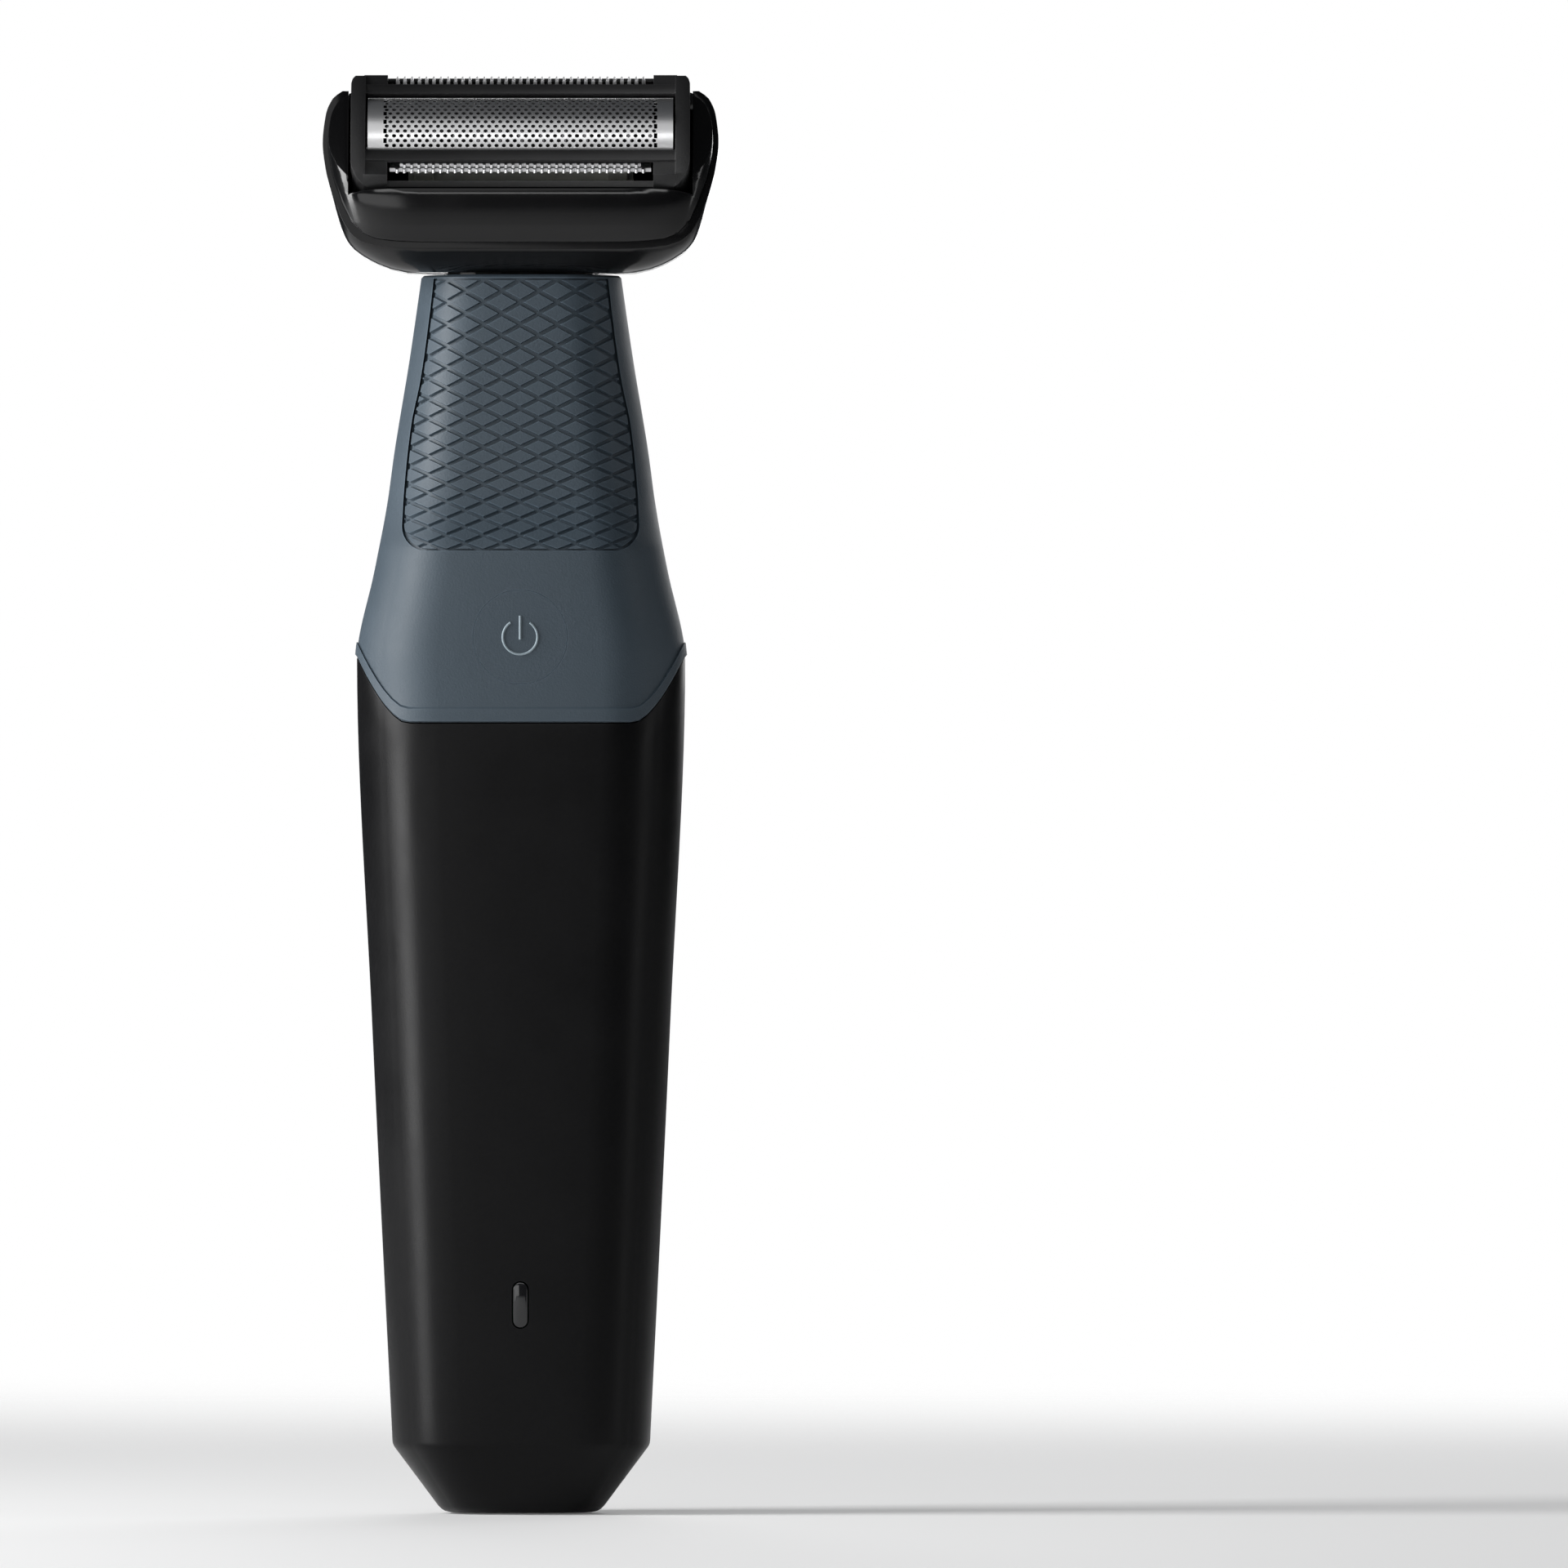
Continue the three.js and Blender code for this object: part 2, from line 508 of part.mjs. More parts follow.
// ---------- Motor ----------
const onAxis = [0, DRIVE_Y, 0];
place(root, 'motor_can',
  turned([[motorLow, MOTOR_RADIUS], [motorTop, MOTOR_RADIUS], [motorTop, SHAFT_RADIUS + 0.5],
    [motorTop - 1, SHAFT_RADIUS + 0.5], [motorTop - 1, MOTOR_RADIUS - 0.8], [motorLow, MOTOR_RADIUS - 0.8],
    [motorLow, MOTOR_RADIUS]]), STEEL, onAxis);
place(root, 'motor_end_cap',
  rod(motorLow - 2.6, motorLow - GAP, MOTOR_RADIUS - 0.4), NATURAL_PLASTIC, onAxis);
const bracketLow = motorTop + GAP;
const bracketTop = bracketLow + PLATE_THICK;
const bracketHalf = MOTOR_RADIUS - 0.4;
const screwX = MOTOR_RADIUS - 1.8;
function motorBracket() {
  const [low, high] = [bracketLow - 1, bracketTop + 1];
  const hole = (radius, x) => rod(low, high, radius, 'z', 20).translate(x, DRIVE_Y, 0);
  const plate = block([-bracketHalf, DRIVE_Y - MOTOR_RADIUS + 1, bracketLow],
    [bracketHalf, DRIVE_Y + MOTOR_RADIUS - 0.6, bracketTop]);
  return cut(plate, hole(2.6, 0), ...SIDES.map(([, side]) => hole(0.7 + GAP, side * screwX)));
}
place(root, 'motor_bracket', motorBracket(), STEEL);
SIDES.forEach(([word, side]) => {
  place(root, `motor_screw_${word}`,
    turned([[bracketLow, 0], [bracketLow, 0.7], [bracketTop + 0.1, 0.7], [bracketTop + 0.1, 1.4],
      [bracketTop + 1.2, 1.4], [bracketTop + 1.2, 0]], 'z', 14), STEEL, [side * screwX, DRIVE_Y, 0]);
});

// The rotor: armature and shaft in the can, and a cam whose pin stands off the axis.
const camLow = bracketTop + 1.6;
const camTop = camLow + 2.6;
const crankTop = camTop + 3.6;
const pivotHeight = GRIP_TOP - PIVOT_DEPTH;
const ECCENTRICITY = (STROKE * (pivotHeight - (camTop + crankTop) / 2)) / LEVER_REACH;
place(root, 'motor_armature',
  sleeve(motorLow + 3, motorTop - 3, SHAFT_RADIUS + GAP, MOTOR_RADIUS - 1.8), STEEL, onAxis);
place(root, 'motor_shaft', rod(motorLow + 1, camTop - 1, SHAFT_RADIUS, 'z', 16), STEEL, onAxis);
const crankPin = rod(camTop - 0.5, crankTop, CRANK_PIN_RADIUS, 'z', 14).translate(0, ECCENTRICITY, 0);
const camBore = rod(camLow - 1, camTop - 0.6, SHAFT_RADIUS + GAP, 'z', 16);
place(root, 'eccentric_cam',
  cut(join(rod(camLow, camTop, 3, 'z', 24), crankPin), camBore), NATURAL_PLASTIC, onAxis);

// ---------- Swing lever ----------
// Its fork is wide enough for the crank pin at every angle of both, since the two aren't geared
// together here.
const forkHalf = 2 * ECCENTRICITY + CRANK_PIN_RADIUS + 0.2;
const forkReach = ECCENTRICITY + CRANK_PIN_RADIUS + 0.4;
const forkRoof = crankTop + 0.4;
const fingerTop = pivotHeight + LEVER_REACH + 2.2;
const FINGER_HALF = 1.1;
function swingLever() {
  const fork = cut(
    block([-forkHalf - 1.2, -forkReach - 1.2, camTop + 0.5],
      [forkHalf + 1.2, forkReach + 1.2, forkRoof + 1.6]),
    block([-forkHalf, -forkReach, camTop - 1], [forkHalf, forkReach, forkRoof]),
  );
  const arm = block([-1.5, -LEVER_THICK / 2, forkRoof + 1], [1.5, LEVER_THICK / 2, pivotHeight]);
  const boss = rod(-LEVER_THICK / 2, LEVER_THICK / 2, 2.4, 'y', 24).translate(0, 0, pivotHeight);
  const finger = block([-FINGER_HALF, -LEVER_THICK / 2, pivotHeight],
    [FINGER_HALF, LEVER_THICK / 2, fingerTop]);
  const bore = rod(-LEVER_THICK, LEVER_THICK, PIVOT_RADIUS + RUNNING, 'y', 24).translate(0, 0, pivotHeight);
  return cut(join(fork, arm, boss, finger), bore);
}
place(root, 'swing_lever', swingLever(), NATURAL_PLASTIC, onAxis);

// The collar closes the grip's top, holds the lever's pin and carries the head.
const collarInset = insideInset + GAP;
const collarLow = GRIP_TOP - 5;
const collarTop = GRIP_TOP + COLLAR_RISE;
const neck = extent(GRIP_TOP, collarInset);
const pinEnds = [neck.front + 1, neck.rear - 1];
const slotHalf = LEVER_THICK / 2 + 1.2;
function neckCollar() {
  const plug = skin([neckRing(collarLow, collarInset), neckRing(collarTop - 1, collarInset),
    neckRing(collarTop, collarInset + 0.8)]);
  const slot = block([-4, DRIVE_Y - slotHalf, collarLow - 1], [4, DRIVE_Y + slotHalf, collarTop + 1]);
  const bore = rod(neck.front - 2, neck.rear + 2, PIVOT_RADIUS + 0.1, 'y', 24).translate(0, 0, pivotHeight);
  return cut(plug, slot, bore);
}
place(root, 'neck_collar', neckCollar(), CASSETTE_BLACK);
place(root, 'lever_pin', rod(...pinEnds, PIVOT_RADIUS, 'y', 24), STEEL, [0, 0, pivotHeight]);

// ---------- Head casing and bezel ----------
// In the head's own frame X is across, Y up the shaving face and Z out of it.
const head = new THREE.Group();
head.position.set(0, -FACE_FORWARD, GRIP_TOP + FACE_RISE);
head.rotation.x = (90 - HEAD_LEAN) * RAD;
root.add(head);
head.updateMatrix();
const fromHead = (geometry) => geometry.applyMatrix4(head.matrix);

const headBase = GRIP_TOP + GAP;
const HEAD_POINTS = 48;
const FRONT_SQUARE = 8; // squareness of its rounded plan, in front and behind
const REAR_SQUARE = 3.2;
// Share of the head's height, distance in from the widest place, front and rear.
const HEAD_ROWS = [
  [0, 10.6, -10.2, 10.6], [0.02, 8.55, -11.2, 11], [0.05, 6.8, -12.2, 11.4], [0.09, 5.1, -13.2, 11.7],
  [0.13, 3.9, -14.2, 11.8], [0.18, 2.95, -15, 11.8], [0.26, 2.2, -15.5, 11.8],
  [0.411, 1.26, -15.9, 11.4], [0.563, 0.38, -15.9, 10.6], [0.71, 0, -15.9, 9.2], [0.866, 0.38, -15.5, 7],
  [0.961, 1.31, -14.5, 4.8], [1, 2.52, -13.5, 3],
];
const headSolid = (inset) =>
  skin(HEAD_ROWS.map(([share, narrow, front, rear]) => {
    const z = headBase + lerp(inset, HEAD_HEIGHT - inset, share);
    const half = HEAD_WIDTH / 2 - narrow - inset;
    return roundedBox(half, front + inset, rear - inset, FRONT_SQUARE, REAR_SQUARE, HEAD_POINTS)
      .map(([x, y]) => [x, y, z]);
  }));
const FAR = 60;
const aboveSplit = (offset) => {
  const above = block([-FAR, -FAR, 0], [FAR, FAR, FAR]).rotateX(SPLIT_TILT * RAD);
  return fromHead(above.translate(0, 0, SPLIT_LEVEL + offset));
};
const towerHalf = FOIL_LENGTH / 2 + GAP + END_WALL;
const springX = towerHalf - 2;
const pocket = (low) =>
  fromHead(block([-towerHalf - GAP, -FRAME_HALF_HEIGHT - GAP, low], [towerHalf + GAP, FAR, FAR]));

function headHousing() {
  const shell = cut(headSolid(0), headSolid(HEAD_WALL));
  // Ribs from the back wall carry the cassette springs.
  const ribs = SIDES.map(([, side]) => {
    const x = side * springX;
    return meet(fromHead(block([x - 1.7, -2, -FAR], [x + 1.7, 2, SPRING_LOW - GAP])), headSolid(0.6));
  });
  const neckHole = skin([headBase - 2, headBase + 2.4].map((z) => neckRing(z, collarInset - 0.5)));
  return cut(join(shell, ...ribs), aboveSplit(-GAP / 2), pocket(FRAME_BACK - FLOAT_TRAVEL - 0.4), neckHole);
}
place(root, 'head_housing', headHousing(), GLOSS_BLACK);

function headBezel() {
  const outside = meet(headSolid(BEZEL_STEP), aboveSplit(GAP / 2));
  const below = fromHead(block([-FAR, -FAR, -FAR], [FAR, FAR, FACE_LEVEL - HEAD_WALL]));
  const under = meet(headSolid(BEZEL_STEP + HEAD_WALL), below);
  return cut(outside, fromHead(block([-FAR, -FAR, FACE_LEVEL], [FAR, FAR, FAR])), under, pocket(-FAR));
}
place(root, 'head_bezel', headBezel(), GLOSS_BLACK);
SIDES.forEach(([word, side]) => {
  const near = neck.half + 0.8;
  const xs = [side * near, side * (near + 1.2)].sort((p, q) => p - q);
  place(root, `head_latch_${word}`,
    block([xs[0], -3, headBase + HEAD_WALL + GAP], [xs[1], 3, collarTop]), STEEL);
});

// ---------- Cassette ----------
const earInside = towerHalf - END_WALL - EAR_WIDTH - GAP;
const barInside = FOIL_RADIUS * Math.sin(FOIL_SPREAD * RAD) + GAP;
const wallInside = TRIMMER_TIP[0] + 0.2;
const SETBACK = 0.12; // small steps between the frame's faces
function cassetteFrame() {
  const end = (side) => {
    const inner = towerHalf - END_WALL;
    const shape = [[-FRAME_HALF_HEIGHT, FRAME_BACK], [FRAME_HALF_HEIGHT, FRAME_BACK],
      [FRAME_HALF_HEIGHT, -1.6], [7.2, 0.4], [4.5, 1.4], [2, 1.8], [-2, 1.8], [-4.5, 1.4], [-7.2, 0.4],
      [-FRAME_HALF_HEIGHT, -1.6]];
    return sideSlab(shape, ...[side * inner, side * towerHalf].sort((p, q) => p - q));
  };
  const piece = (outline, reach) => [-1, 1].map((up) => {
    const points = outline.map(([v, n]) => [up * v, n]);
    return sideSlab(up < 0 ? points.reverse() : points, -reach, reach);
  });
  const whole = towerHalf - END_WALL + 0.2;
  const bar = [[barInside, -1.2], [4.7, -1], [5.7, 0.35], [5.6, 0.9], [4.9, 1.1], [barInside, 1]];
  const wallOutside = FRAME_HALF_HEIGHT - 2 * SETBACK;
  const wallBack = FRAME_BACK + 2 * SETBACK;
  const wall = [[wallInside, wallBack], [wallOutside, wallBack], [wallOutside, -1.7], [wallInside, -1.3]];
  const ears = [-1, 1].flatMap((side) => [-1, 1].map((up) => {
    const xs = [side * earInside, side * whole].sort((p, q) => p - q);
    const [inside, outside, back] = [barInside + SETBACK, FRAME_HALF_HEIGHT - SETBACK, FRAME_BACK + SETBACK];
    const points = [[inside, back], [outside, back], [outside, -1.5], [7.4, 0.2], [inside, 0.6]]
      .map(([v, n]) => [up * v, n]);
    return sideSlab(up < 0 ? points.reverse() : points, ...xs);
  }));
  const corner = [towerHalf, FRAME_HALF_HEIGHT].map((v) => v - SETBACK / 4);
  const turns = [[1, 1], [-1, 1], [-1, -1], [1, -1]];
  const plan = turns.flatMap(([sx, sy], i) => Array.from({ length: 5 }, (_, k) => {
    const angle = (i + k / 4) * 90 * RAD;
    return [sx * (corner[0] - FRAME_CORNER) + FRAME_CORNER * Math.cos(angle),
      sy * (corner[1] - FRAME_CORNER) + FRAME_CORNER * Math.sin(angle)];
  }));
  const frame = join(end(-1), end(1), ...piece(bar, whole), ...piece(wall, whole), ...ears);
  return meet(frame, slab(plan, 2 * FRAME_BACK, 2 * FOIL_CROWN));
}
place(head, 'cassette_frame', cassetteFrame(), CASSETTE_BLACK);

const foilAxis = FOIL_CROWN - FOIL_RADIUS;
const arc = (radius, spread, steps) =>
  Array.from({ length: steps + 1 }, (_, k) => {
    const angle = lerp(spread, -spread, k / steps) * RAD;
    return [radius * Math.sin(angle), foilAxis + radius * Math.cos(angle)];
  });
function shavingFoil() {
  const edge = FOIL_RADIUS * Math.sin(FOIL_SPREAD * RAD);
  const inside = FOIL_RADIUS - FOIL_THICK;
  const outline = [[edge, -1], ...arc(FOIL_RADIUS, FOIL_SPREAD, 12), [-edge, -1], [FOIL_THICK - edge, -1],
    ...arc(inside, FOIL_SPREAD, 12).reverse(), [edge - FOIL_THICK, -1]];
  return sideSlab(outline, -FOIL_LENGTH / 2, FOIL_LENGTH / 2);
}
place(head, 'shaving_foil', shavingFoil(), STEEL);

const combHalf = earInside - GAP;
const bladeHalf = combHalf - STROKE - GAP;
const TOOTH_COUNT = Math.floor((2 * combHalf) / TOOTH_PITCH) - 1;
// A toothed blade from its root to its tip, with its teeth along Z and its thickness along Y.
function toothed(half, tip, width, from, to) {
  const shoulder = tip - TOOTH_HEIGHT;
  const outline = [[-half, -TRIMMER_DEPTH], [half, -TRIMMER_DEPTH], [half, shoulder]];
  for (let k = TOOTH_COUNT - 1; k >= 0; k -= 1) {
    const x = (k - (TOOTH_COUNT - 1) / 2) * TOOTH_PITCH;
    if (Math.abs(x) + width / 2 < half) {
      outline.push([x + width / 2, shoulder], [x + width / 3, tip]);
      outline.push([x - width / 3, tip], [x - width / 2, shoulder]);
    }
  }
  outline.push([-half, shoulder]);
  return frontSlab(outline, from, to);
}
[['upper', 0], ['lower', Math.PI]].forEach(([word, turn]) => {
  const facing = new THREE.Group();
  facing.rotation.z = turn;
  head.add(facing);
  const trimmer = new THREE.Group();
  trimmer.position.set(0, ...TRIMMER_TIP);
  trimmer.rotation.x = -TRIMMER_ANGLE * RAD;
  facing.add(trimmer);
  const bladeFrom = -COMB_THICK - BLADE_GAP;
  place(trimmer, `${word}_trimmer_comb`, toothed(combHalf, 0, 0.5, -COMB_THICK, 0), STEEL);
  place(trimmer, `${word}_trimmer_blade`,
    toothed(bladeHalf, -0.3, 0.42, bladeFrom - BLADE_THICK, bladeFrom), STEEL);
});

// Fins on a spine run just under the foil, and stop short of the springs at each end of the stroke.
const cutterHalf = springX - SPRING_RADIUS - SPRING_WIRE - GAP - STROKE;
function foilCutter() {
  const half = cutterHalf;
  const radius = FOIL_RADIUS - FOIL_THICK - BLADE_GAP;
  const crown = arc(radius, FOIL_SPREAD - 10, 6);
  const spine = block([-half, -1.2, FRAME_BACK - 0.8], [half, 1.2, FOIL_CROWN - 1.4]);
  const fins = Array.from({ length: CUTTER_FINS }, (_, k) => {
    const x = lerp(-half + 0.4, half - 0.4, k / (CUTTER_FINS - 1));
    return sideSlab([...crown, [-1, -1.4], [1, -1.4]], x - 0.25, x + 0.25);
  });
  return join(spine, ...fins);
}
place(head, 'foil_cutter', foilCutter(), STEEL);

// The carrier joins the three cutters, and its prongs take the lever's finger.
const carrierTop = FRAME_BACK - 0.8 - GAP;
const bladeRoot = TRIMMER_TIP.map((v, k) => v - TRIMMER_DEPTH * [Math.sin, Math.cos][k](TRIMMER_ANGLE * RAD));
function cutterCarrier() {
  const half = bladeHalf - 1;
  const plate = block([-half, -5.4, carrierTop - 1.2], [half, 5.4, carrierTop]);
  const posts = [-1, 1].flatMap((side) => [-1, 1].map((up) => {
    const vs = [up * (bladeRoot[0] - 1), up * (bladeRoot[0] + 0.6)].sort((p, q) => p - q);
    const x = side * (half - 2);
    return block([x - 1.2, vs[0], carrierTop - 0.5], [x + 1.2, vs[1], bladeRoot[1] - 0.6]);
  }));
  const prongs = SIDES.map(([, side]) => {
    const xs = [side * (FINGER_HALF + 0.4), side * (FINGER_HALF + 1.8)].sort((p, q) => p - q);
    return block([xs[0], -3, -18], [xs[1], 2, carrierTop - 0.5]);
  });
  return join(plate, ...posts, ...prongs);
}
place(head, 'cutter_carrier', cutterCarrier(), NATURAL_PLASTIC);

SIDES.forEach(([word, side]) => {
  const spring = coil(SPRING_LOW, FRAME_BACK - GAP, SPRING_RADIUS, SPRING_WIRE, 4);
  place(head, `cassette_spring_${word}`, spring, STEEL, [side * springX, 0, 0]);
});

export default root;
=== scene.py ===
# %% [markdown]
# # A cordless body groomer
# A faceted black handle, a blue-grey rubber grip with a diamond panel, and a shaving head
# with a perforated foil between two toothed trimmers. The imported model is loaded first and
# stays as it is: the pieces made here ride on its bodies, and some of them stand in for its
# plainer solids.

# %% Load the frame
import math
import bmesh
import bpy
from mathutils import Matrix, Vector
from mathutils.bvhtree import BVHTree


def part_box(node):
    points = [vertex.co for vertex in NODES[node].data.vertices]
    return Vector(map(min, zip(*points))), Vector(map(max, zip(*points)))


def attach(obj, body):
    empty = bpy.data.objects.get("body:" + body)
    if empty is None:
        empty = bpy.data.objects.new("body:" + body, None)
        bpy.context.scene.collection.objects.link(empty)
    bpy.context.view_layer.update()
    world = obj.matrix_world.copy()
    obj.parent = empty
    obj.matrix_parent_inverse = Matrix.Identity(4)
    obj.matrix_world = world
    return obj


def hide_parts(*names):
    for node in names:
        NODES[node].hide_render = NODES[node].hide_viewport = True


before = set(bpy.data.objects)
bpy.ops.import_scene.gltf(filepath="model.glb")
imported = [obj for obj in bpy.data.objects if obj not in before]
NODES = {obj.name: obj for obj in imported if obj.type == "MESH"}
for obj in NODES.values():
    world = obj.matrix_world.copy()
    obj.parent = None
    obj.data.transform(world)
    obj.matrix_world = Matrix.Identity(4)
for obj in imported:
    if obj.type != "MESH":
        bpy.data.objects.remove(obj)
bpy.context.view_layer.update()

MM = 0.001

# %% [markdown]
# ## Camera, floor and light
# The object stands upright and is seen level, from far away, so a long lens keeps its sides
# straight. The floor is a pale disc whose rim fades out, which leaves no horizon. One wide
# soft light on the left does most of the work: black plastic shows its shape only by what it
# reflects, so a smaller light on the right and a strip above give the other edges a line.

# %% Camera
LENS = 648
CAMERA_PLACE = (0.0335, -3.6, 0.0928)
camera = bpy.data.objects.new("camera", bpy.data.cameras.new("camera"))
camera.data.lens = LENS
camera.location = CAMERA_PLACE
camera.rotation_euler = (math.radians(90), 0, 0)
bpy.context.scene.collection.objects.link(camera)
bpy.context.scene.camera = camera
bpy.context.scene.view_settings.view_transform = "Standard"
print("camera lens", LENS, "place", CAMERA_PLACE)


# %% Lights
def soft_light(name, place, aim, width, height, power):
    """A rectangular light at a place, turned towards a point, that the camera doesn't see."""
    data = bpy.data.lights.new(name, "AREA")
    data.shape = "RECTANGLE"
    data.size = width
    data.size_y = height
    data.energy = power
    light = bpy.data.objects.new(name, data)
    light.location = place
    light.rotation_euler = (Vector(aim) - Vector(place)).to_track_quat("-Z", "Y").to_euler()
    light.visible_camera = False
    bpy.context.scene.collection.objects.link(light)


soft_light("key_left", (-0.6, -0.16, 0.2), (0, 0, 0.1), 0.3, 0.8, 9.0)
soft_light("fill_right", (0.8, -0.1, 0.2), (0, 0, 0.1), 0.12, 0.7, 0.6)
soft_light("front_high", (-0.35, -0.55, 0.62), (0, 0, 0.17), 0.9, 0.5, 1.05)
soft_light("front_card", (-0.27, -0.55, 0.08), (0, 0, 0.12), 0.45, 0.15, 0.34)
soft_light("foil_card", (0.0, -0.6, 0.27), (0, 0, 0.175), 0.4, 0.07, 0.32)
soft_light("back_soft", (0.2, 0.9, 0.4), (0, 0, 0.1), 0.8, 0.6, 4.0)
print("lights", [light.name for light in bpy.data.lights])

# %% World and floor
world = bpy.data.worlds.new("studio")
bpy.context.scene.world = world
world.use_nodes = True
nodes, links = world.node_tree.nodes, world.node_tree.links
nodes.clear()
sight = nodes.new("ShaderNodeLightPath")
white = nodes.new("ShaderNodeBackground")
grey = nodes.new("ShaderNodeBackground")
grey.inputs["Color"].default_value = (0.035, 0.037, 0.04, 1)
choose = nodes.new("ShaderNodeMixShader")
world_out = nodes.new("ShaderNodeOutputWorld")
links.new(sight.outputs["Is Camera Ray"], choose.inputs[0])
links.new(grey.outputs[0], choose.inputs[1])
links.new(white.outputs[0], choose.inputs[2])
links.new(choose.outputs[0], world_out.inputs[0])
white.inputs["Color"].default_value = (1, 1, 1, 1)

FLOOR_RADIUS = 0.9


def make_floor():
    mesh = bpy.data.meshes.new("floor")
    form = bmesh.new()
    bmesh.ops.create_circle(form, cap_ends=True, segments=96, radius=FLOOR_RADIUS)
    form.to_mesh(mesh)
    form.free()
    floor = bpy.data.objects.new("floor", mesh)
    floor.location.z = -0.0002
    bpy.context.scene.collection.objects.link(floor)
    material = bpy.data.materials.new("floor")
    material.use_nodes = True
    tree = material.node_tree
    shade = tree.nodes["Principled BSDF"]
    shade.inputs["Base Color"].default_value = (0.93, 0.93, 0.93, 1)
    shade.inputs["Roughness"].default_value = 0.8
    coords = tree.nodes.new("ShaderNodeTexCoord")
    length = tree.nodes.new("ShaderNodeVectorMath")
    length.operation = "LENGTH"
    fade = tree.nodes.new("ShaderNodeMapRange")
    fade.interpolation_type = "SMOOTHSTEP"
    fade.inputs["From Min"].default_value = 0.3
    fade.inputs["From Max"].default_value = FLOOR_RADIUS * 0.98
    fade.inputs["To Min"].default_value = 0.9
    fade.inputs["To Max"].default_value = 0
    tree.links.new(coords.outputs["Object"], length.inputs[0])
    tree.links.new(length.outputs["Value"], fade.inputs["Value"])
    tree.links.new(fade.outputs[0], shade.inputs["Alpha"])
    mesh.materials.append(material)


make_floor()
print("camera, five lights and the floor are set")

# %% [markdown]
# ## Shared effects
# Three small node groups give every finish its life: `worn_edges` finds the edges with the
# Bevel node, `fine_grain` mixes a coarse and a fine noise, and `ground_lines` is noise that
# is stretched along one axis, as grinding leaves on steel. Each gives masks and heights only,
# and the shader stays in the material.


# %% Node groups
def new_group(name, inputs, outputs):
    """A shader group with number inputs {name: value} and number outputs."""
    group = bpy.data.node_groups.new(name, "ShaderNodeTree")
    for label, value in inputs.items():
        socket = group.interface.new_socket(label, in_out="INPUT", socket_type="NodeSocketFloat")
        socket.default_value = value
    for label in outputs:
        group.interface.new_socket(label, in_out="OUTPUT", socket_type="NodeSocketFloat")
    return group, group.nodes.new("NodeGroupInput"), group.nodes.new("NodeGroupOutput")


def math_node(group, operation, a, b):
    node = group.nodes.new("ShaderNodeMath")
    node.operation = operation
    for socket, value in zip(node.inputs, (a, b)):
        if isinstance(value, (int, float)):
            socket.default_value = value
        else:
            group.links.new(value, socket)
    return node.outputs[0]


def worn_edges_group():
    group, start, end = new_group("worn_edges", {"Radius": 0.0004, "Reach": 0.12}, ["Mask"])
    bevel = group.nodes.new("ShaderNodeBevel")
    bevel.samples = 4
    group.links.new(start.outputs["Radius"], bevel.inputs["Radius"])
    flat = group.nodes.new("ShaderNodeNewGeometry")
    dot = group.nodes.new("ShaderNodeVectorMath")
    dot.operation = "DOT_PRODUCT"
    group.links.new(bevel.outputs[0], dot.inputs[0])
    group.links.new(flat.outputs["Normal"], dot.inputs[1])
    spread = group.nodes.new("ShaderNodeMapRange")
    spread.inputs["From Min"].default_value = 0.998
    group.links.new(dot.outputs["Value"], spread.inputs["Value"])
    group.links.new(math_node(group, "SUBTRACT", 1.0, start.outputs["Reach"]), spread.inputs["From Max"])
    group.links.new(spread.outputs[0], end.inputs["Mask"])
    return group


def noise_group(name, stretch):
    """Noise on Object coordinates, stretched by a vector, as a fine height and a broad spread."""
    group, start, end = new_group(name, {"Scale": 3000.0, "Spread Scale": 90.0}, ["Height", "Spread"])
    coords = group.nodes.new("ShaderNodeTexCoord")
    shape = group.nodes.new("ShaderNodeMapping")
    shape.inputs["Scale"].default_value = stretch
    group.links.new(coords.outputs["Object"], shape.inputs["Vector"])
    for label, source, detail in (("Height", "Scale", 3), ("Spread", "Spread Scale", 5)):
        noise = group.nodes.new("ShaderNodeTexNoise")
        noise.inputs["Detail"].default_value = detail
        group.links.new(shape.outputs[0], noise.inputs["Vector"])
        group.links.new(start.outputs[source], noise.inputs["Scale"])
        group.links.new(noise.outputs[0], end.inputs[label])
    return group


WORN_EDGES = worn_edges_group()
FINE_GRAIN = noise_group("fine_grain", (1, 1, 1))
GROUND_LINES = noise_group("ground_lines", (0.05, 1, 1))
print("node groups", [group.name for group in (WORN_EDGES, FINE_GRAIN, GROUND_LINES)])

# %% [markdown]
# ## Finishes
# One recipe makes them all. A base colour drifts a little darker and lighter, edges turn to a
# worn colour, the same drift moves the roughness, and the grain lifts the surface through a
# Bump node. What differs is the numbers: rubber is rough with a coarse grain and some sheen,
# the head is smooth and glossy, and steel takes the stretched noise.


# %% Finish recipe
def mix_colour(tree, factor, a, b):
    node = tree.nodes.new("ShaderNodeMix")
    node.data_type = "RGBA"
    tree.links.new(factor, node.inputs[0])
    for socket, value in ((node.inputs[6], a), (node.inputs[7], b)):
        if isinstance(value, tuple):
            socket.default_value = (*value, 1)
        else:
            tree.links.new(value, socket)
    return node.outputs[2]


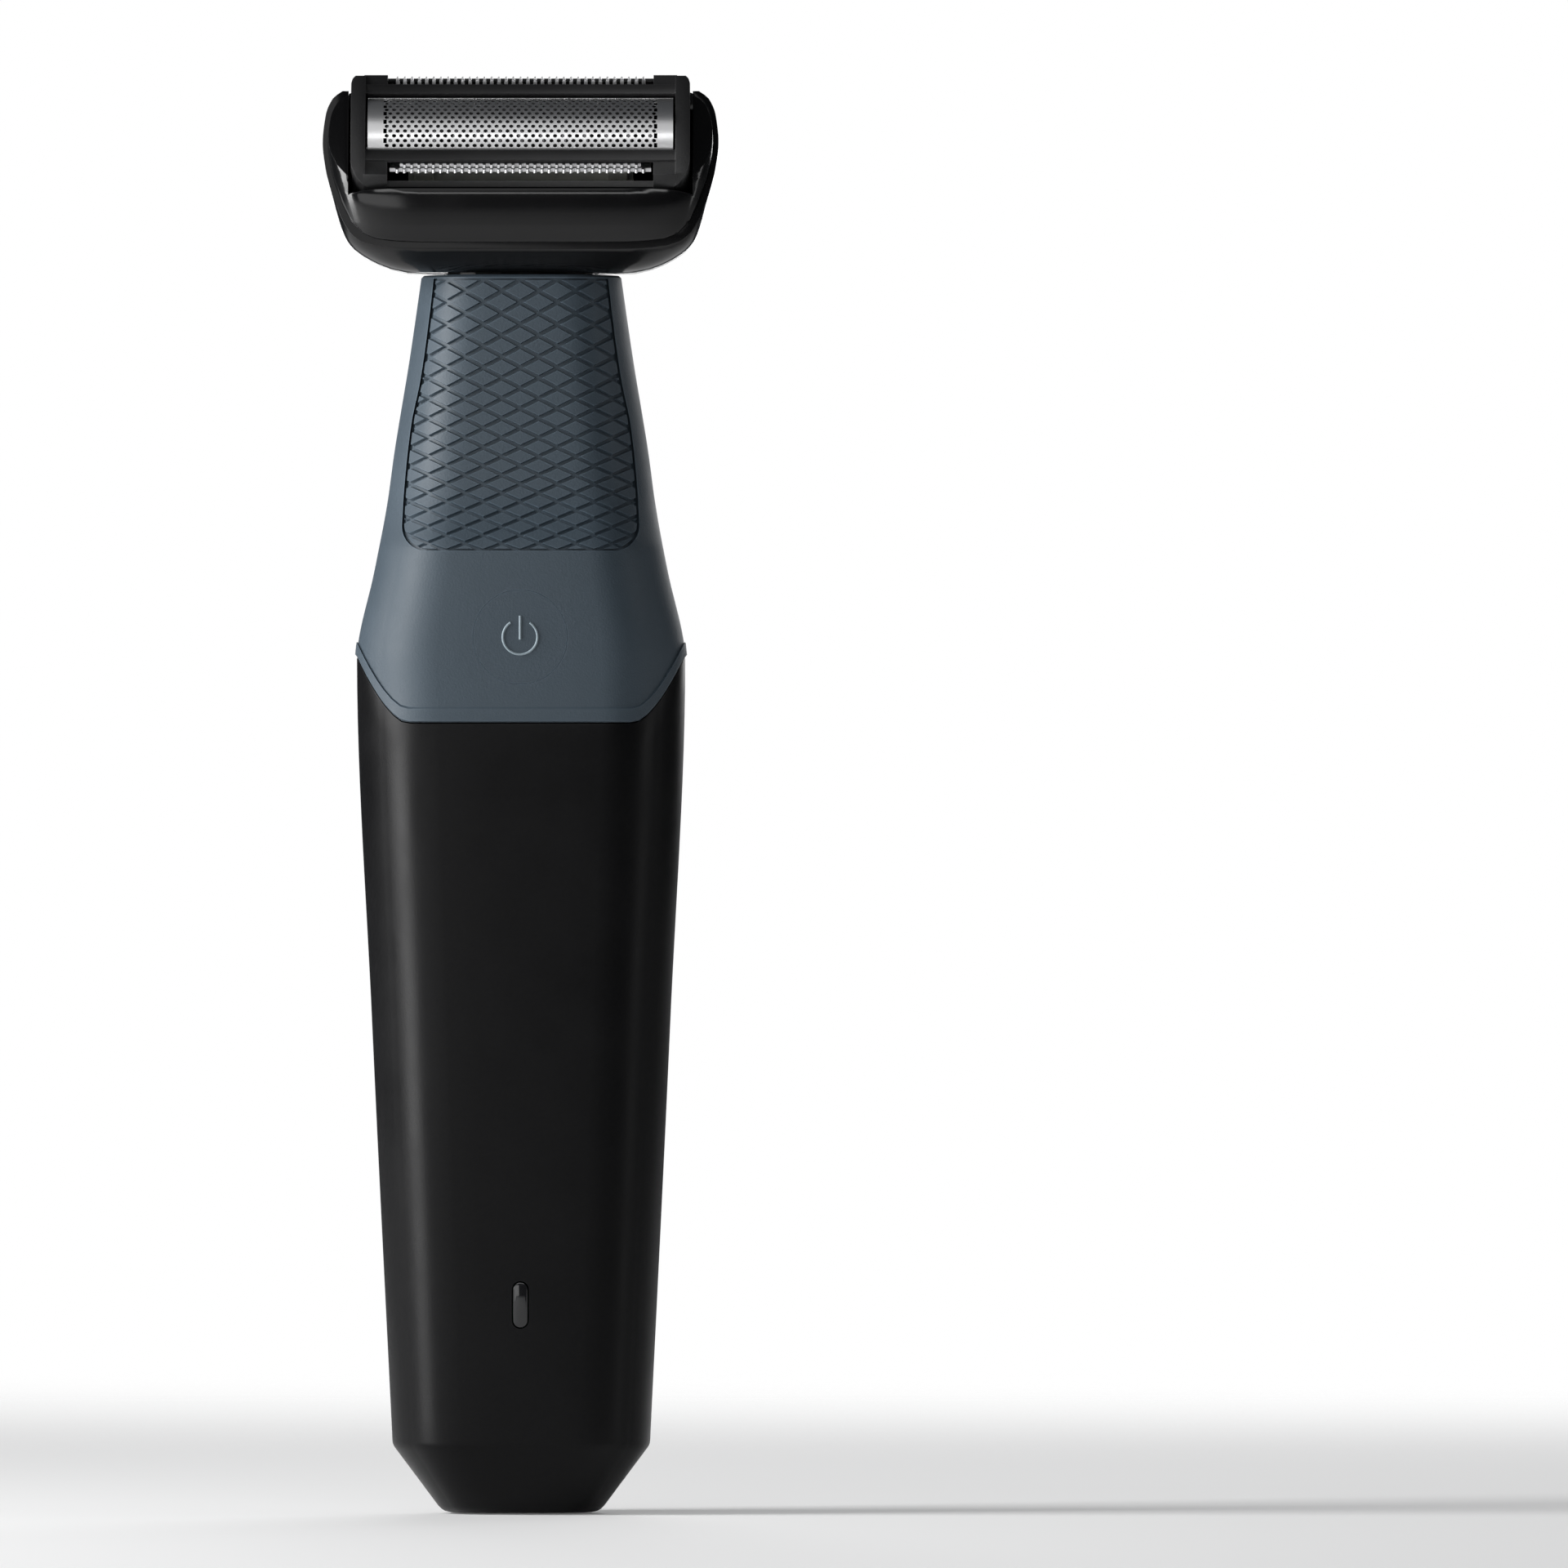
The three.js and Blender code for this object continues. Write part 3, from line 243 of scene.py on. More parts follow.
def finish(name, colour, rough, *, drift=0.18, worn=None, wear=0.0002, rough_drift=0.06, scale=3000.0,
           spread=90.0, bump=0.1, metal=0.0, sheen=0.0, coat=0.0, shine=0.5, lines=False):
    material = bpy.data.materials.new(name)
    material.use_nodes = True
    tree = material.node_tree
    shade = tree.nodes["Principled BSDF"]
    grain = tree.nodes.new("ShaderNodeGroup")
    grain.node_tree = GROUND_LINES if lines else FINE_GRAIN
    grain.inputs["Scale"].default_value = scale
    grain.inputs["Spread Scale"].default_value = spread
    edges = tree.nodes.new("ShaderNodeGroup")
    edges.node_tree = WORN_EDGES
    edges.inputs["Radius"].default_value = wear
    dark = tuple(c * (1 - drift) for c in colour)
    light = tuple(min(1, c * (1 + drift)) for c in colour)
    drifted = mix_colour(tree, grain.outputs["Spread"], dark, light)
    rubbed = worn or tuple(min(1, c * 1.7 + 0.004) for c in colour)
    tree.links.new(mix_colour(tree, edges.outputs["Mask"], drifted, rubbed), shade.inputs["Base Color"])
    vary = tree.nodes.new("ShaderNodeMapRange")
    vary.inputs["From Min"].default_value = 0.3
    vary.inputs["From Max"].default_value = 0.7
    vary.inputs["To Min"].default_value = rough - rough_drift
    vary.inputs["To Max"].default_value = rough + rough_drift
    tree.links.new(grain.outputs["Spread"], vary.inputs["Value"])
    tree.links.new(vary.outputs[0], shade.inputs["Roughness"])
    lift = tree.nodes.new("ShaderNodeBump")
    lift.inputs["Strength"].default_value = bump
    lift.inputs["Distance"].default_value = 0.0001
    tree.links.new(grain.outputs["Height"], lift.inputs["Height"])
    tree.links.new(lift.outputs[0], shade.inputs["Normal"])
    shade.inputs["Metallic"].default_value = metal
    shade.inputs["Sheen Weight"].default_value = sheen
    shade.inputs["Coat Weight"].default_value = coat
    shade.inputs["Specular IOR Level"].default_value = shine
    return material


print("materials before the first finish", len(bpy.data.materials))

# %% Finishes by slot
FINISHES = {
    "satin_black": finish("satin_black", (0.0032, 0.0032, 0.0036), 0.36, bump=0.12, scale=5000.0, shine=0.15),
    "grip_rubber": finish("grip_rubber", (0.038, 0.057, 0.075), 0.56, bump=0.35, scale=3800.0, drift=0.1,
                          sheen=0.05),
    "gloss_black": finish("gloss_black", (0.0035, 0.0035, 0.0038), 0.15, bump=0.02, rough_drift=0.03,
                          shine=0.45),
    "cassette_black": finish("cassette_black", (0.013, 0.013, 0.0135), 0.4, bump=0.2, scale=5200.0,
                             shine=0.4),
    "lens_black": finish("lens_black", (0.008, 0.008, 0.009), 0.12, bump=0.02, coat=0.5),
    "foil_steel": finish("foil_steel", (0.95, 0.95, 0.96), 0.34, metal=1.0, bump=0.05, drift=0.08,
                         lines=True),
    "blade_steel": finish("blade_steel", (0.8, 0.8, 0.81), 0.45, metal=1.0, bump=0.12, drift=0.1, lines=True),
    "fastener_steel": finish("fastener_steel", (0.5, 0.51, 0.52), 0.32, metal=1.0, bump=0.1),
    "natural_plastic": finish("natural_plastic", (0.55, 0.55, 0.5), 0.45, bump=0.15),
    "seal_rubber": finish("seal_rubber", (0.012, 0.012, 0.012), 0.7, bump=0.3),
    "board_green": finish("board_green", (0.01, 0.085, 0.03), 0.4, bump=0.2, spread=300.0, coat=0.3),
    "cell_wrap": finish("cell_wrap", (0.015, 0.08, 0.25), 0.35, bump=0.08),
}
ICON_GREY = finish("icon_grey", (0.2, 0.25, 0.28), 0.45, bump=0.1)
# The cutter under the foil is steel painted far darker than the blades. This is painted shade: it stands in
# for the shadow under the foil, so the foil's holes read dark.
CUTTER_STEEL_PAINTED_SHADE = finish("cutter_steel_painted_shade", (0.16, 0.16, 0.165), 0.4, metal=1.0, bump=0.2, lines=True)
PAINTED_SHADE_LOOKS = {"foil_cutter": CUTTER_STEEL_PAINTED_SHADE}
for name, node in NODES.items():
    for slot in node.material_slots:
        slot.material = PAINTED_SHADE_LOOKS.get(name, FINISHES[slot.material.name])
print("finishes", len(FINISHES))

# %% [markdown]
# ## From numbers to meshes
# A lofted piece is a stack of rings, each with the same number of points, joined by quads. A
# tube with a wall is one stack too: it climbs the outside and comes back down the inside.
# Openings are cut afterwards by solids that are thrown away.


# %% Mesh helpers
def new_piece(name, points, faces, soft=32):
    """A mesh object from points in millimetres, smooth where faces meet at less than the soft angle."""
    mesh = bpy.data.meshes.new(name)
    mesh.from_pydata([Vector(point) * MM for point in points], [], faces)
    piece = bpy.data.objects.new(name, mesh)
    bpy.context.scene.collection.objects.link(piece)
    smooth(piece, soft)
    return piece


def smooth(piece, soft=32):
    piece.data.shade_smooth()
    piece.data.set_sharp_from_angle(angle=math.radians(soft))


def loft(name, rings, closed=False, soft=32):
    count = len(rings[0])
    steps = len(rings) if closed else len(rings) - 1
    faces = []
    for k in range(steps):
        low, high = k * count, ((k + 1) % len(rings)) * count
        for j in range(count):
            after = (j + 1) % count
            faces.append((low + j, low + after, high + after, high + j))
    if not closed:
        faces.append(tuple(reversed(range(count))))
        faces.append(tuple(range((len(rings) - 1) * count, len(rings) * count)))
    return new_piece(name, [point for ring in rings for point in ring], faces, soft)


def settle(piece):
    """Turn a piece and its modifiers into a plain mesh."""
    graph = bpy.context.evaluated_depsgraph_get()
    mesh = bpy.data.meshes.new_from_object(piece.evaluated_get(graph))
    piece.modifiers.clear()
    piece.data = mesh
    return piece


def carve(piece, *cutters, keep="DIFFERENCE", soft=32):
    """Cut solids out of a piece, or keep what they share, and throw them away."""
    for cutter in cutters:
        step = piece.modifiers.new("carve", "BOOLEAN")
        step.operation = keep
        step.solver = "EXACT"
        step.object = cutter
    settle(piece)
    for cutter in cutters:
        bpy.data.objects.remove(cutter)
    smooth(piece, soft)
    return piece


def rounded(piece, width, segments=2, angle=35, soft=40):
    """Round the sharp edges of a piece by a width in millimetres, after its slivers are merged."""
    form = bmesh.new()
    form.from_mesh(piece.data)
    bmesh.ops.remove_doubles(form, verts=form.verts, dist=0.12 * width * MM)
    bmesh.ops.dissolve_degenerate(form, edges=form.edges, dist=0.02 * width * MM)
    bmesh.ops.dissolve_limit(form, angle_limit=math.radians(0.5), verts=form.verts, edges=form.edges)
    form.to_mesh(piece.data)
    form.free()
    step = piece.modifiers.new("rounded", "BEVEL")
    step.width = width * MM
    step.segments = segments
    step.limit_method = "ANGLE"
    step.angle_limit = math.radians(angle)
    settle(piece)
    smooth(piece, soft)
    return piece


def dress(piece, body, slot, *replaced, look=None):
    """Give a finished piece its finish and its body, and name the nodes that it stands in for."""
    piece.data.materials.clear()
    piece.data.materials.append(look or FINISHES[slot])
    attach(piece, body)
    if replaced:
        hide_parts(*replaced)
    print(piece.name, "faces", len(piece.data.polygons))
    return piece


def lerp(a, b, t):
    return a + (b - a) * t


def box_solid(lo, hi, matrix=None):
    """A box between two corners, in millimetres, placed by a matrix."""
    corners = [Vector((x, y, z)) for z in (lo[2], hi[2]) for y in (lo[1], hi[1]) for x in (lo[0], hi[0])]
    if matrix:
        corners = [matrix @ corner for corner in corners]
    faces = [(0, 2, 3, 1), (4, 5, 7, 6), (0, 1, 5, 4), (2, 6, 7, 3), (0, 4, 6, 2), (1, 3, 7, 5)]
    return new_piece("solid", corners, faces)


def front_prism(outline, near, far):
    """An outline of (x, z) points, counter-clockwise from the front, from a near to a far depth."""
    return loft("solid", [[(x, y, z) for x, z in reversed(outline)] for y in (far, near)][::-1])


def through(rows, at):
    """The value at a station of a curve through (station, value) rows that never overshoots them."""
    if at <= rows[0][0]:
        return rows[0][1]
    if at >= rows[-1][0]:
        return rows[-1][1]
    last = len(rows) - 1
    rise = [(rows[k + 1][1] - rows[k][1]) / (rows[k + 1][0] - rows[k][0]) for k in range(last)]

    def slope(k):
        if k in (0, last):
            return rise[min(k, last - 1)]
        a, b = rise[k - 1], rise[k]
        return 0 if a * b <= 0 else 2 * a * b / (a + b)

    k = 0
    while at > rows[k + 1][0]:
        k += 1
    h = rows[k + 1][0] - rows[k][0]
    t = (at - rows[k][0]) / h
    return (rows[k][1] * (1 + 2 * t) * (1 - t) ** 2 + slope(k) * h * t * (1 - t) ** 2
            + rows[k + 1][1] * t ** 2 * (3 - 2 * t) + slope(k + 1) * h * t ** 2 * (t - 1))


# %% [markdown]
# ## The handle's outline
# The handle is an eight-sided tube: flat panels in front and behind, narrow sides and slanted
# facets between them. Its width and depth change with height, so three rows of shares drive
# it. The housing and the grip share this rule, which is why they meet cleanly at the seam.

# %% Outline rule
GRIP_TOP = 157.6
BODY_WIDTH = 41.8
BODY_DEPTH = 32.4
BASE_BEVEL = 8.6
FACET = 7
PANEL_SHARE = 0.69
SHOULDER = 0.692 * GRIP_TOP
SEAM_DROP = 8.5
SEAM_EASE = 1.6
WIDTH_ROWS = [(.0546, .785), (.397, .909), (.692, 1), (.7, .995), (.76, .895),
              (.815, .818), (.857, .775), (.935, .679), (1, .608)]
FRONT_ROWS = [(.0546, .753), (.397, .895), (.666, .99), (.711, 1), (.755, .995), (.777, .98),
              (.8, .85), (.825, .74), (.876, .667), (.952, .63), (1, .62)]
REAR_ROWS = [(.0546, .753), (.38, .87), (.666, 1), (.71, 1), (.761, .95), (.888, .78), (1, .69)]
BEND_STEPS = 6
FLAT_STEPS = 5
SIDE_STEPS = BEND_STEPS + FLAT_STEPS
RING_POINTS = 8 * SIDE_STEPS
CROWN = 0.9


def bevel_share(z, ease=0.05):
    """How far up the bevelled base a height is, from 0 to 1, with a soft turn at the top."""
    t = max(0, z / BASE_BEVEL)
    if abs(t - 1) < ease:
        return 1 - (1 + ease - t) ** 2 / (4 * ease)
    return min(t, 1)


def corners_at(z, inset=0.0):
    share = max(z, BASE_BEVEL) / GRIP_TOP
    grow = lerp(0.61, 1, bevel_share(z))
    half = through(WIDTH_ROWS, share) * BODY_WIDTH * grow / 2 - inset
    front = inset - through(FRONT_ROWS, share) * BODY_DEPTH * grow / 2
    rear = through(REAR_ROWS, share) * BODY_DEPTH * grow / 2 - inset
    panel = half * PANEL_SHARE
    drop = min(FACET * grow, 0.33 * (rear - front))
    return [Vector(p) for p in (
        (-panel, front), (panel, front), (half, front + drop), (half, rear - drop),
        (panel, rear), (-panel, rear), (-half, rear - drop), (-half, front + drop))]


def towards(corner, other):
    length = (other - corner).length
    return corner.lerp(other, min(0.42 * length, 4) / length)


def outline_point(j, z, inset=0.0):
    """Point j of the outline at a height."""
    corners = corners_at(z, inset)
    i, k = divmod(j % RING_POINTS, SIDE_STEPS)
    here, after = corners[i], corners[(i + 1) % 8]
    stop = towards(here, after)
    if k <= BEND_STEPS:
        start = towards(here, corners[i - 1])
        t = k / BEND_STEPS
        flat = start * (1 - t) ** 2 + here * 2 * t * (1 - t) + stop * t ** 2
    else:
        flat = stop.lerp(towards(after, here), (k - BEND_STEPS) / FLAT_STEPS)
    belly = CROWN * max(0, 1 - (flat.x / corners[2].x) ** 2)
    return flat.x, flat.y + math.copysign(belly, flat.y), z


def outline(height, inset=0.0):
    """A ring at a height, which may be a rule of the place across."""
    if not callable(height):
        return [outline_point(j, height, inset) for j in range(RING_POINTS)]
    ring = []
    for j in range(RING_POINTS):
        z = SHOULDER
        for _ in range(3):
            z = height(outline_point(j, z, inset)[0])
        ring.append(outline_point(j, z, inset))
    return ring


def seam_at(x):
    """The seam is low across the panels and climbs over the slanted facets to the sides."""
    half = BODY_WIDTH / 2
    panel = half * PANEL_SHARE
    t = min(1, max(0, (abs(x) - panel) / (half - panel)))
    return SHOULDER - SEAM_DROP * (1 - t ** SEAM_EASE)


seam_ends = [round(seam_at(x), 1) for x in (0, BODY_WIDTH / 2)]
print("outline points", RING_POINTS, "seam heights in the middle and at the side", seam_ends)


# %% [markdown]
# ## Lower housing
# One moulded satin tube, closed at the base, where the charging socket opens. It could be a
# cube with modifiers, but its facets change all the way up, so it is lofted. Its upper rings
# bend with the seam, so no ring is cut.

# %% Lower housing
WALL = 1.8
SEAM_LINE = 0.12
STRAIGHT_TOP = 40


def housing_rings(extra=0.0):
    rim = SEAM_LINE / 2
    outside = [outline(z, inset + extra) for z, inset in
               ((0, 0.8), (0.1, 0.4), (0.35, 0.12), (0.8, 0), (4, 0), (7.7, 0), (8.2, 0), (8.4, 0), (8.6, 0),
                (8.8, 0), (9.1, 0), (12, 0), (20, 0), (30, 0), (STRAIGHT_TOP, 0))]
    for k in range(1, 19):
        outside.append(outline(lambda x, t=k / 18: lerp(STRAIGHT_TOP, seam_at(x) - rim - 0.3, t), extra))
    outside.append(outline(lambda x: seam_at(x) - rim - 0.05, 0.03))
    outside.append(outline(lambda x: seam_at(x) - rim, 0.12))
    inside = [outline(lambda x: seam_at(x) - rim, WALL)]
    for k in range(6, 0, -1):
        inside.append(outline(lambda x, t=k / 7: lerp(STRAIGHT_TOP, seam_at(x), t), WALL))
    inside += [outline(z, WALL) for z in (STRAIGHT_TOP, 20, 9, WALL)]
    return outside + inside


housing = loft("lower_shell", housing_rings())
inlet_lo, inlet_hi = (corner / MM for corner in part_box("charge_inlet"))
light_lo, light_hi = (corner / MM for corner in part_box("light_pipe"))
CLEAR = 0.16


def pill(radius, half_length, middle, steps=12):
    """An upright pill as (x, z) points."""
    points = []
    for side in (1, -1):
        for k in range(steps + 1):
            angle = math.pi * k / steps + (0 if side > 0 else math.pi)
            points.append((radius * math.cos(angle),
                           middle + side * (half_length - radius) + radius * math.sin(angle)))
    return points


light_middle = (light_lo.z + light_hi.z) / 2
light_half = (light_hi.z - light_lo.z) / 2
light_hole = front_prism(pill(light_hi.x + CLEAR, light_half + CLEAR, light_middle), light_lo.y - 3, -5)
inlet_hole = box_solid((inlet_lo.x - CLEAR, inlet_lo.y - CLEAR, -2),
                       (inlet_hi.x + CLEAR, inlet_hi.y + CLEAR, 6))
carve(housing, inlet_hole, light_hole)
dress(housing, "handle", "satin_black", "lower_housing")

lens = loft("status_lens", housing_rings(0.05))
carve(lens, front_prism(pill(light_hi.x, light_half, light_middle), -20, -5), keep="INTERSECT")
rounded(lens, 0.12)
dress(lens, "handle", "lens_black", "light_pipe")

# %% [markdown]
# ## Soft grip
# Rubber moulded over the hard core. A lip runs along the seam, the front scoops in for the
# thumb above the power button, and a panel of diamonds lies in a shallow recess. The skin is
# lofted like the housing. The recess is cut with a prism whose inside has been cut away to
# the recess's depth, so its floor follows the skin.

# %% Grip skin
RUBBER = 1.2
LIP_OUT = 0.22
LIP_HEIGHT = 1.75
RECESS = 0.4


def lip_inset(rise):
    """The lip stands proud along the seam and steps back above it."""
    t = min(1, max(0, (rise - LIP_HEIGHT) / 0.3))
    return -LIP_OUT * (1 - t * t * (3 - 2 * t))


def grip_rings(extra=0.0):
    rim = SEAM_LINE / 2
    rises = (0.25, 0.9, 1.5, 1.75, 1.85, 1.95, 2.05, 2.3, 3)
    outside = [outline(lambda x: seam_at(x) + rim, 0.1 + extra)]
    for rise in rises:
        outside.append(outline(lambda x, r=rise: seam_at(x) + r, lip_inset(rise) + extra))
    steps = 64
    for k in range(1, steps + 1):
        outside.append(outline(lambda x, t=k / steps: lerp(seam_at(x) + 3, GRIP_TOP - 0.3, t), extra))
    outside.append(outline(GRIP_TOP, 0.3 + extra))
    inside = [outline(GRIP_TOP, RUBBER + extra)]
    for k in range(15, -1, -1):
        inside.append(outline(lambda x, t=k / 16: lerp(seam_at(x) + rim, GRIP_TOP, t), RUBBER + extra))
    return outside + inside


grip = loft("grip_skin", grip_rings(), closed=True)
grip_surface = BVHTree.FromObject(grip, bpy.context.evaluated_depsgraph_get())
button_blank = loft("button_membrane", grip_rings(), closed=True)


def skin_hit(x, z):
    """Where a line from the front meets the grip, in millimetres, and which way its surface faces."""
    hit, normal, _, _ = grip_surface.ray_cast(Vector((x * MM, -0.06, z * MM)), Vector((0, 1, 0)))
    return hit / MM, normal


# %% Diamond panel's recess
PANEL_LOW = 122.4
PANEL_HIGH = 157.15
PANEL_CORNER = 3.2
PANEL_SIDE = [(125.6, 15.1), (129.6, 14.9), (138.4, 14.0), (144.2, 12.8), (152.8, 11.6), (157.2, 11.1)]


def panel_outline(shrink=0.0):
    """The panel's outline as (x, z) points, counter-clockwise from the front."""
    right = []
    low, corner = PANEL_LOW + shrink, PANEL_CORNER
    for k in range(9):
        angle = math.pi / 2 * k / 8
        right.append((PANEL_SIDE[0][1] - shrink - corner + corner * math.sin(angle),
                      low + corner - corner * math.cos(angle)))
    for k in range(1, 17):
        z = lerp(low + corner, PANEL_HIGH - shrink, k / 16)
        right.append((through(PANEL_SIDE, z) - shrink, z))
    return right + [(-x, z) for x, z in reversed(right)]


recess = front_prism(panel_outline(), -30, -1)
core = loft("solid", [outline(z, RECESS) for z in range(112, 164)])
carve(recess, core)
carve(grip, recess)
print("recess cut", RECESS, "deep from", PANEL_LOW, "to", PANEL_HIGH)

# %% [markdown]
# ## Diamonds
# The panel's diamonds repeat, so Geometry Nodes lays them out: a grid of points, every other
# row moved by half a diamond, a four-sided cone with its tip cut off on each point. The rows
# grow taller up the panel. The flat sheet of diamonds is then trimmed to the panel's outline
# and laid on the rubber along its normals.


# %% Diamond sheet
def tree_for(name, inputs):
    """A Geometry Nodes tree with named number inputs {name: value}, and its two end nodes."""
    tree = bpy.data.node_groups.new(name, "GeometryNodeTree")
    tree.interface.new_socket("Geometry", in_out="INPUT", socket_type="NodeSocketGeometry")
    tree.interface.new_socket("Geometry", in_out="OUTPUT", socket_type="NodeSocketGeometry")
    for label, value in inputs.items():
        kind = {int: "NodeSocketInt", float: "NodeSocketFloat"}.get(type(value), "NodeSocketObject")
        socket = tree.interface.new_socket(label, in_out="INPUT", socket_type=kind)
        if kind != "NodeSocketObject":
            socket.default_value = value
    return tree, tree.nodes.new("NodeGroupInput"), tree.nodes.new("NodeGroupOutput")


def add(tree, kind, settings=None, **sockets):
    """A node with its settings, and its sockets fed by values or by other sockets."""
    node = tree.nodes.new(kind)
    for label, value in (settings or {}).items():
        setattr(node, label, value)
    for label, value in sockets.items():
        key = int(label[1:]) if label[0] == "i" and label[1:].isdigit() else label.replace("_", " ")
        socket = node.inputs[key]
        if isinstance(value, bpy.types.NodeSocket):
            tree.links.new(value, socket)
        else:
            socket.default_value = value
    return node


def calc(tree, operation, a, b=0.0, c=0.0):
    return add(tree, "ShaderNodeMath", {"operation": operation}, i0=a, i1=b, i2=c).outputs[0]


def hand_out(tree, end, geometry, material):
    """Give a tree's geometry its material and send it to the tree's output."""
    coloured = add(tree, "GeometryNodeSetMaterial", None, Geometry=geometry, Material=material)
    tree.links.new(coloured.outputs[0], end.inputs[0])
    return tree


def grown(name, tree, values, material):
    """A piece made by a tree, with its inputs set by identifier before it is first evaluated."""
    piece = bpy.data.objects.new(name, bpy.data.meshes.new(name))
    bpy.context.scene.collection.objects.link(piece)
    step = piece.modifiers.new(name, "NODES")
    step.node_group = tree
    for item in tree.interface.items_tree:
        if item.item_type == "SOCKET" and item.in_out == "INPUT" and item.name in values:
            step[item.identifier] = values[item.name]
    settle(piece)
    piece.data.materials.clear()
    piece.data.materials.append(material)
    return piece


DIAMOND_PITCH = 4.7
GROOVE = 0.2


def diamond_tree():
    tree, start, end = tree_for("diamond_sheet", {
        "Columns": 8, "Rows": 33, "Pitch": DIAMOND_PITCH * MM, "Groove": GROOVE, "Height": RECESS * MM,
        "Growth": 8.4})
    given = start.outputs
    count = calc(tree, "SUBTRACT", given["Columns"], 1.0)
    grid = add(tree, "GeometryNodeMeshGrid", None, Vertices_X=given["Columns"], Vertices_Y=given["Rows"],
               Size_X=calc(tree, "MULTIPLY", count, given["Pitch"]),
               Size_Y=calc(tree, "MULTIPLY", calc(tree, "SUBTRACT", given["Rows"], 1.0), MM))
    place = add(tree, "ShaderNodeSeparateXYZ", None, i0=add(tree, "GeometryNodeInputPosition").outputs[0])
    row = calc(tree, "ROUND", calc(tree, "DIVIDE", place.outputs[1], MM))
    odd = calc(tree, "ABSOLUTE", calc(tree, "MODULO", row, 2.0))
    shift = calc(tree, "MULTIPLY", odd, calc(tree, "MULTIPLY", given["Pitch"], 0.5))
    moved = add(tree, "GeometryNodeSetPosition", None, Geometry=grid.outputs["Mesh"],
                Offset=add(tree, "ShaderNodeCombineXYZ", None, X=shift).outputs[0])
    diamond = add(tree, "GeometryNodeMeshCone", None, Vertices=4, Radius_Top=0.88, Radius_Bottom=1.0,
                  Depth=1.0)
    share = calc(tree, "SUBTRACT", 1.0, given["Groove"])
    narrowed = calc(tree, "SUBTRACT", 1.0, calc(tree, "MULTIPLY", given["Groove"], 0.6))
    half_pitch = calc(tree, "MULTIPLY", given["Pitch"], 0.5)
    size = add(tree, "ShaderNodeCombineXYZ", None, Z=given["Height"],
               X=calc(tree, "MULTIPLY", narrowed, half_pitch), Y=calc(tree, "MULTIPLY", share, MM))
    spread = add(tree, "GeometryNodeInstanceOnPoints", None, Points=moved.outputs[0],
                 Instance=diamond.outputs["Mesh"], Scale=size.outputs[0])
    real = add(tree, "GeometryNodeRealizeInstances", None, Geometry=spread.outputs[0])
    at = add(tree, "ShaderNodeSeparateXYZ", None, i0=add(tree, "GeometryNodeInputPosition").outputs[0])
    rise = calc(tree, "ADD", at.outputs[1], 0.016)
    taller = calc(tree, "MULTIPLY", given["Growth"], calc(tree, "MULTIPLY", rise, rise))
    upright = add(tree, "ShaderNodeCombineXYZ", None, X=at.outputs[0],
                  Y=calc(tree, "MULTIPLY", at.outputs[2], -1.0),
                  Z=calc(tree, "ADD", PANEL_LOW * MM, calc(tree, "ADD", rise, taller)))
    stood = add(tree, "GeometryNodeSetPosition", None, Geometry=real.outputs[0], Position=upright.outputs[0])
    return hand_out(tree, end, stood.outputs[0], FINISHES["grip_rubber"])


diamonds = grown("diamond_panel", diamond_tree(), {"Pitch": DIAMOND_PITCH * MM, "Groove": GROOVE},
                 FINISHES["grip_rubber"])
carve(diamonds, front_prism(panel_outline(0.3), -5, 5), keep="INTERSECT")


def lay_on_skin(piece, sink):
    """Lay an upright flat piece on the grip, sunk, with its own depth kept along the normals."""
    form = bmesh.new()
    form.from_mesh(piece.data)
    bmesh.ops.triangulate(form, faces=form.faces)
    bmesh.ops.subdivide_edges(form, edges=form.edges, cuts=1, use_grid_fill=True)
    for vert in form.verts:
        hit, normal = skin_hit(vert.co.x / MM, vert.co.z / MM)
        vert.co = (hit - normal * (sink + vert.co.y / MM)) * MM
    form.to_mesh(piece.data)
    form.free()
    smooth(piece, 40)


lay_on_skin(diamonds, RECESS)
dress(diamonds, "handle", "grip_rubber")

# %% [markdown]
# ## Power button
# The button is a round patch of the same rubber that presses in, so it is the grip's own skin
# inside a circle, and the grip loses a circle that is a hair wider. The icon is two raised
# strokes: a ring with a gap at its top and a bar through the gap.

# %% Button and icon
BUTTON_HEIGHT = SHOULDER + 2.4
BUTTON_RADIUS = 6.0
BUTTON_CLEAR = 0.02


def round_solid(radius, steps=72):
    angles = [2 * math.pi * k / steps for k in range(steps)]
    circle = [(radius * math.cos(a), BUTTON_HEIGHT + radius * math.sin(a)) for a in angles]
    return front_prism(circle, -25, -3)


carve(grip, round_solid(BUTTON_RADIUS + BUTTON_CLEAR))
dress(grip, "handle", "grip_rubber", "soft_grip")
carve(button_blank, round_solid(BUTTON_RADIUS - BUTTON_CLEAR), keep="INTERSECT")
dress(button_blank, "power_button", "grip_rubber", "button_cap")


def stroke(name, path, radius):
    """A round stroke along (x, z) points that are moved onto the grip's surface."""
    curve = bpy.data.curves.new(name, "CURVE")
    curve.dimensions = "3D"
    curve.bevel_depth = radius * MM
    curve.bevel_resolution = 3
    curve.use_fill_caps = True
    line = curve.splines.new("POLY")
    line.points.add(len(path) - 1)
    for point, (x, z) in zip(line.points, path):
        hit, _ = skin_hit(x, z)
        point.co = (*(Vector((x, hit.y, z)) * MM), 1)
    piece = bpy.data.objects.new(name, curve)
    bpy.context.scene.collection.objects.link(piece)
    graph = bpy.context.evaluated_depsgraph_get()
    mesh = bpy.data.meshes.new_from_object(piece.evaluated_get(graph))
    bpy.data.objects.remove(piece)
    solid = bpy.data.objects.new(name, mesh)
    bpy.context.scene.collection.objects.link(solid)
    smooth(solid, 60)
    return solid


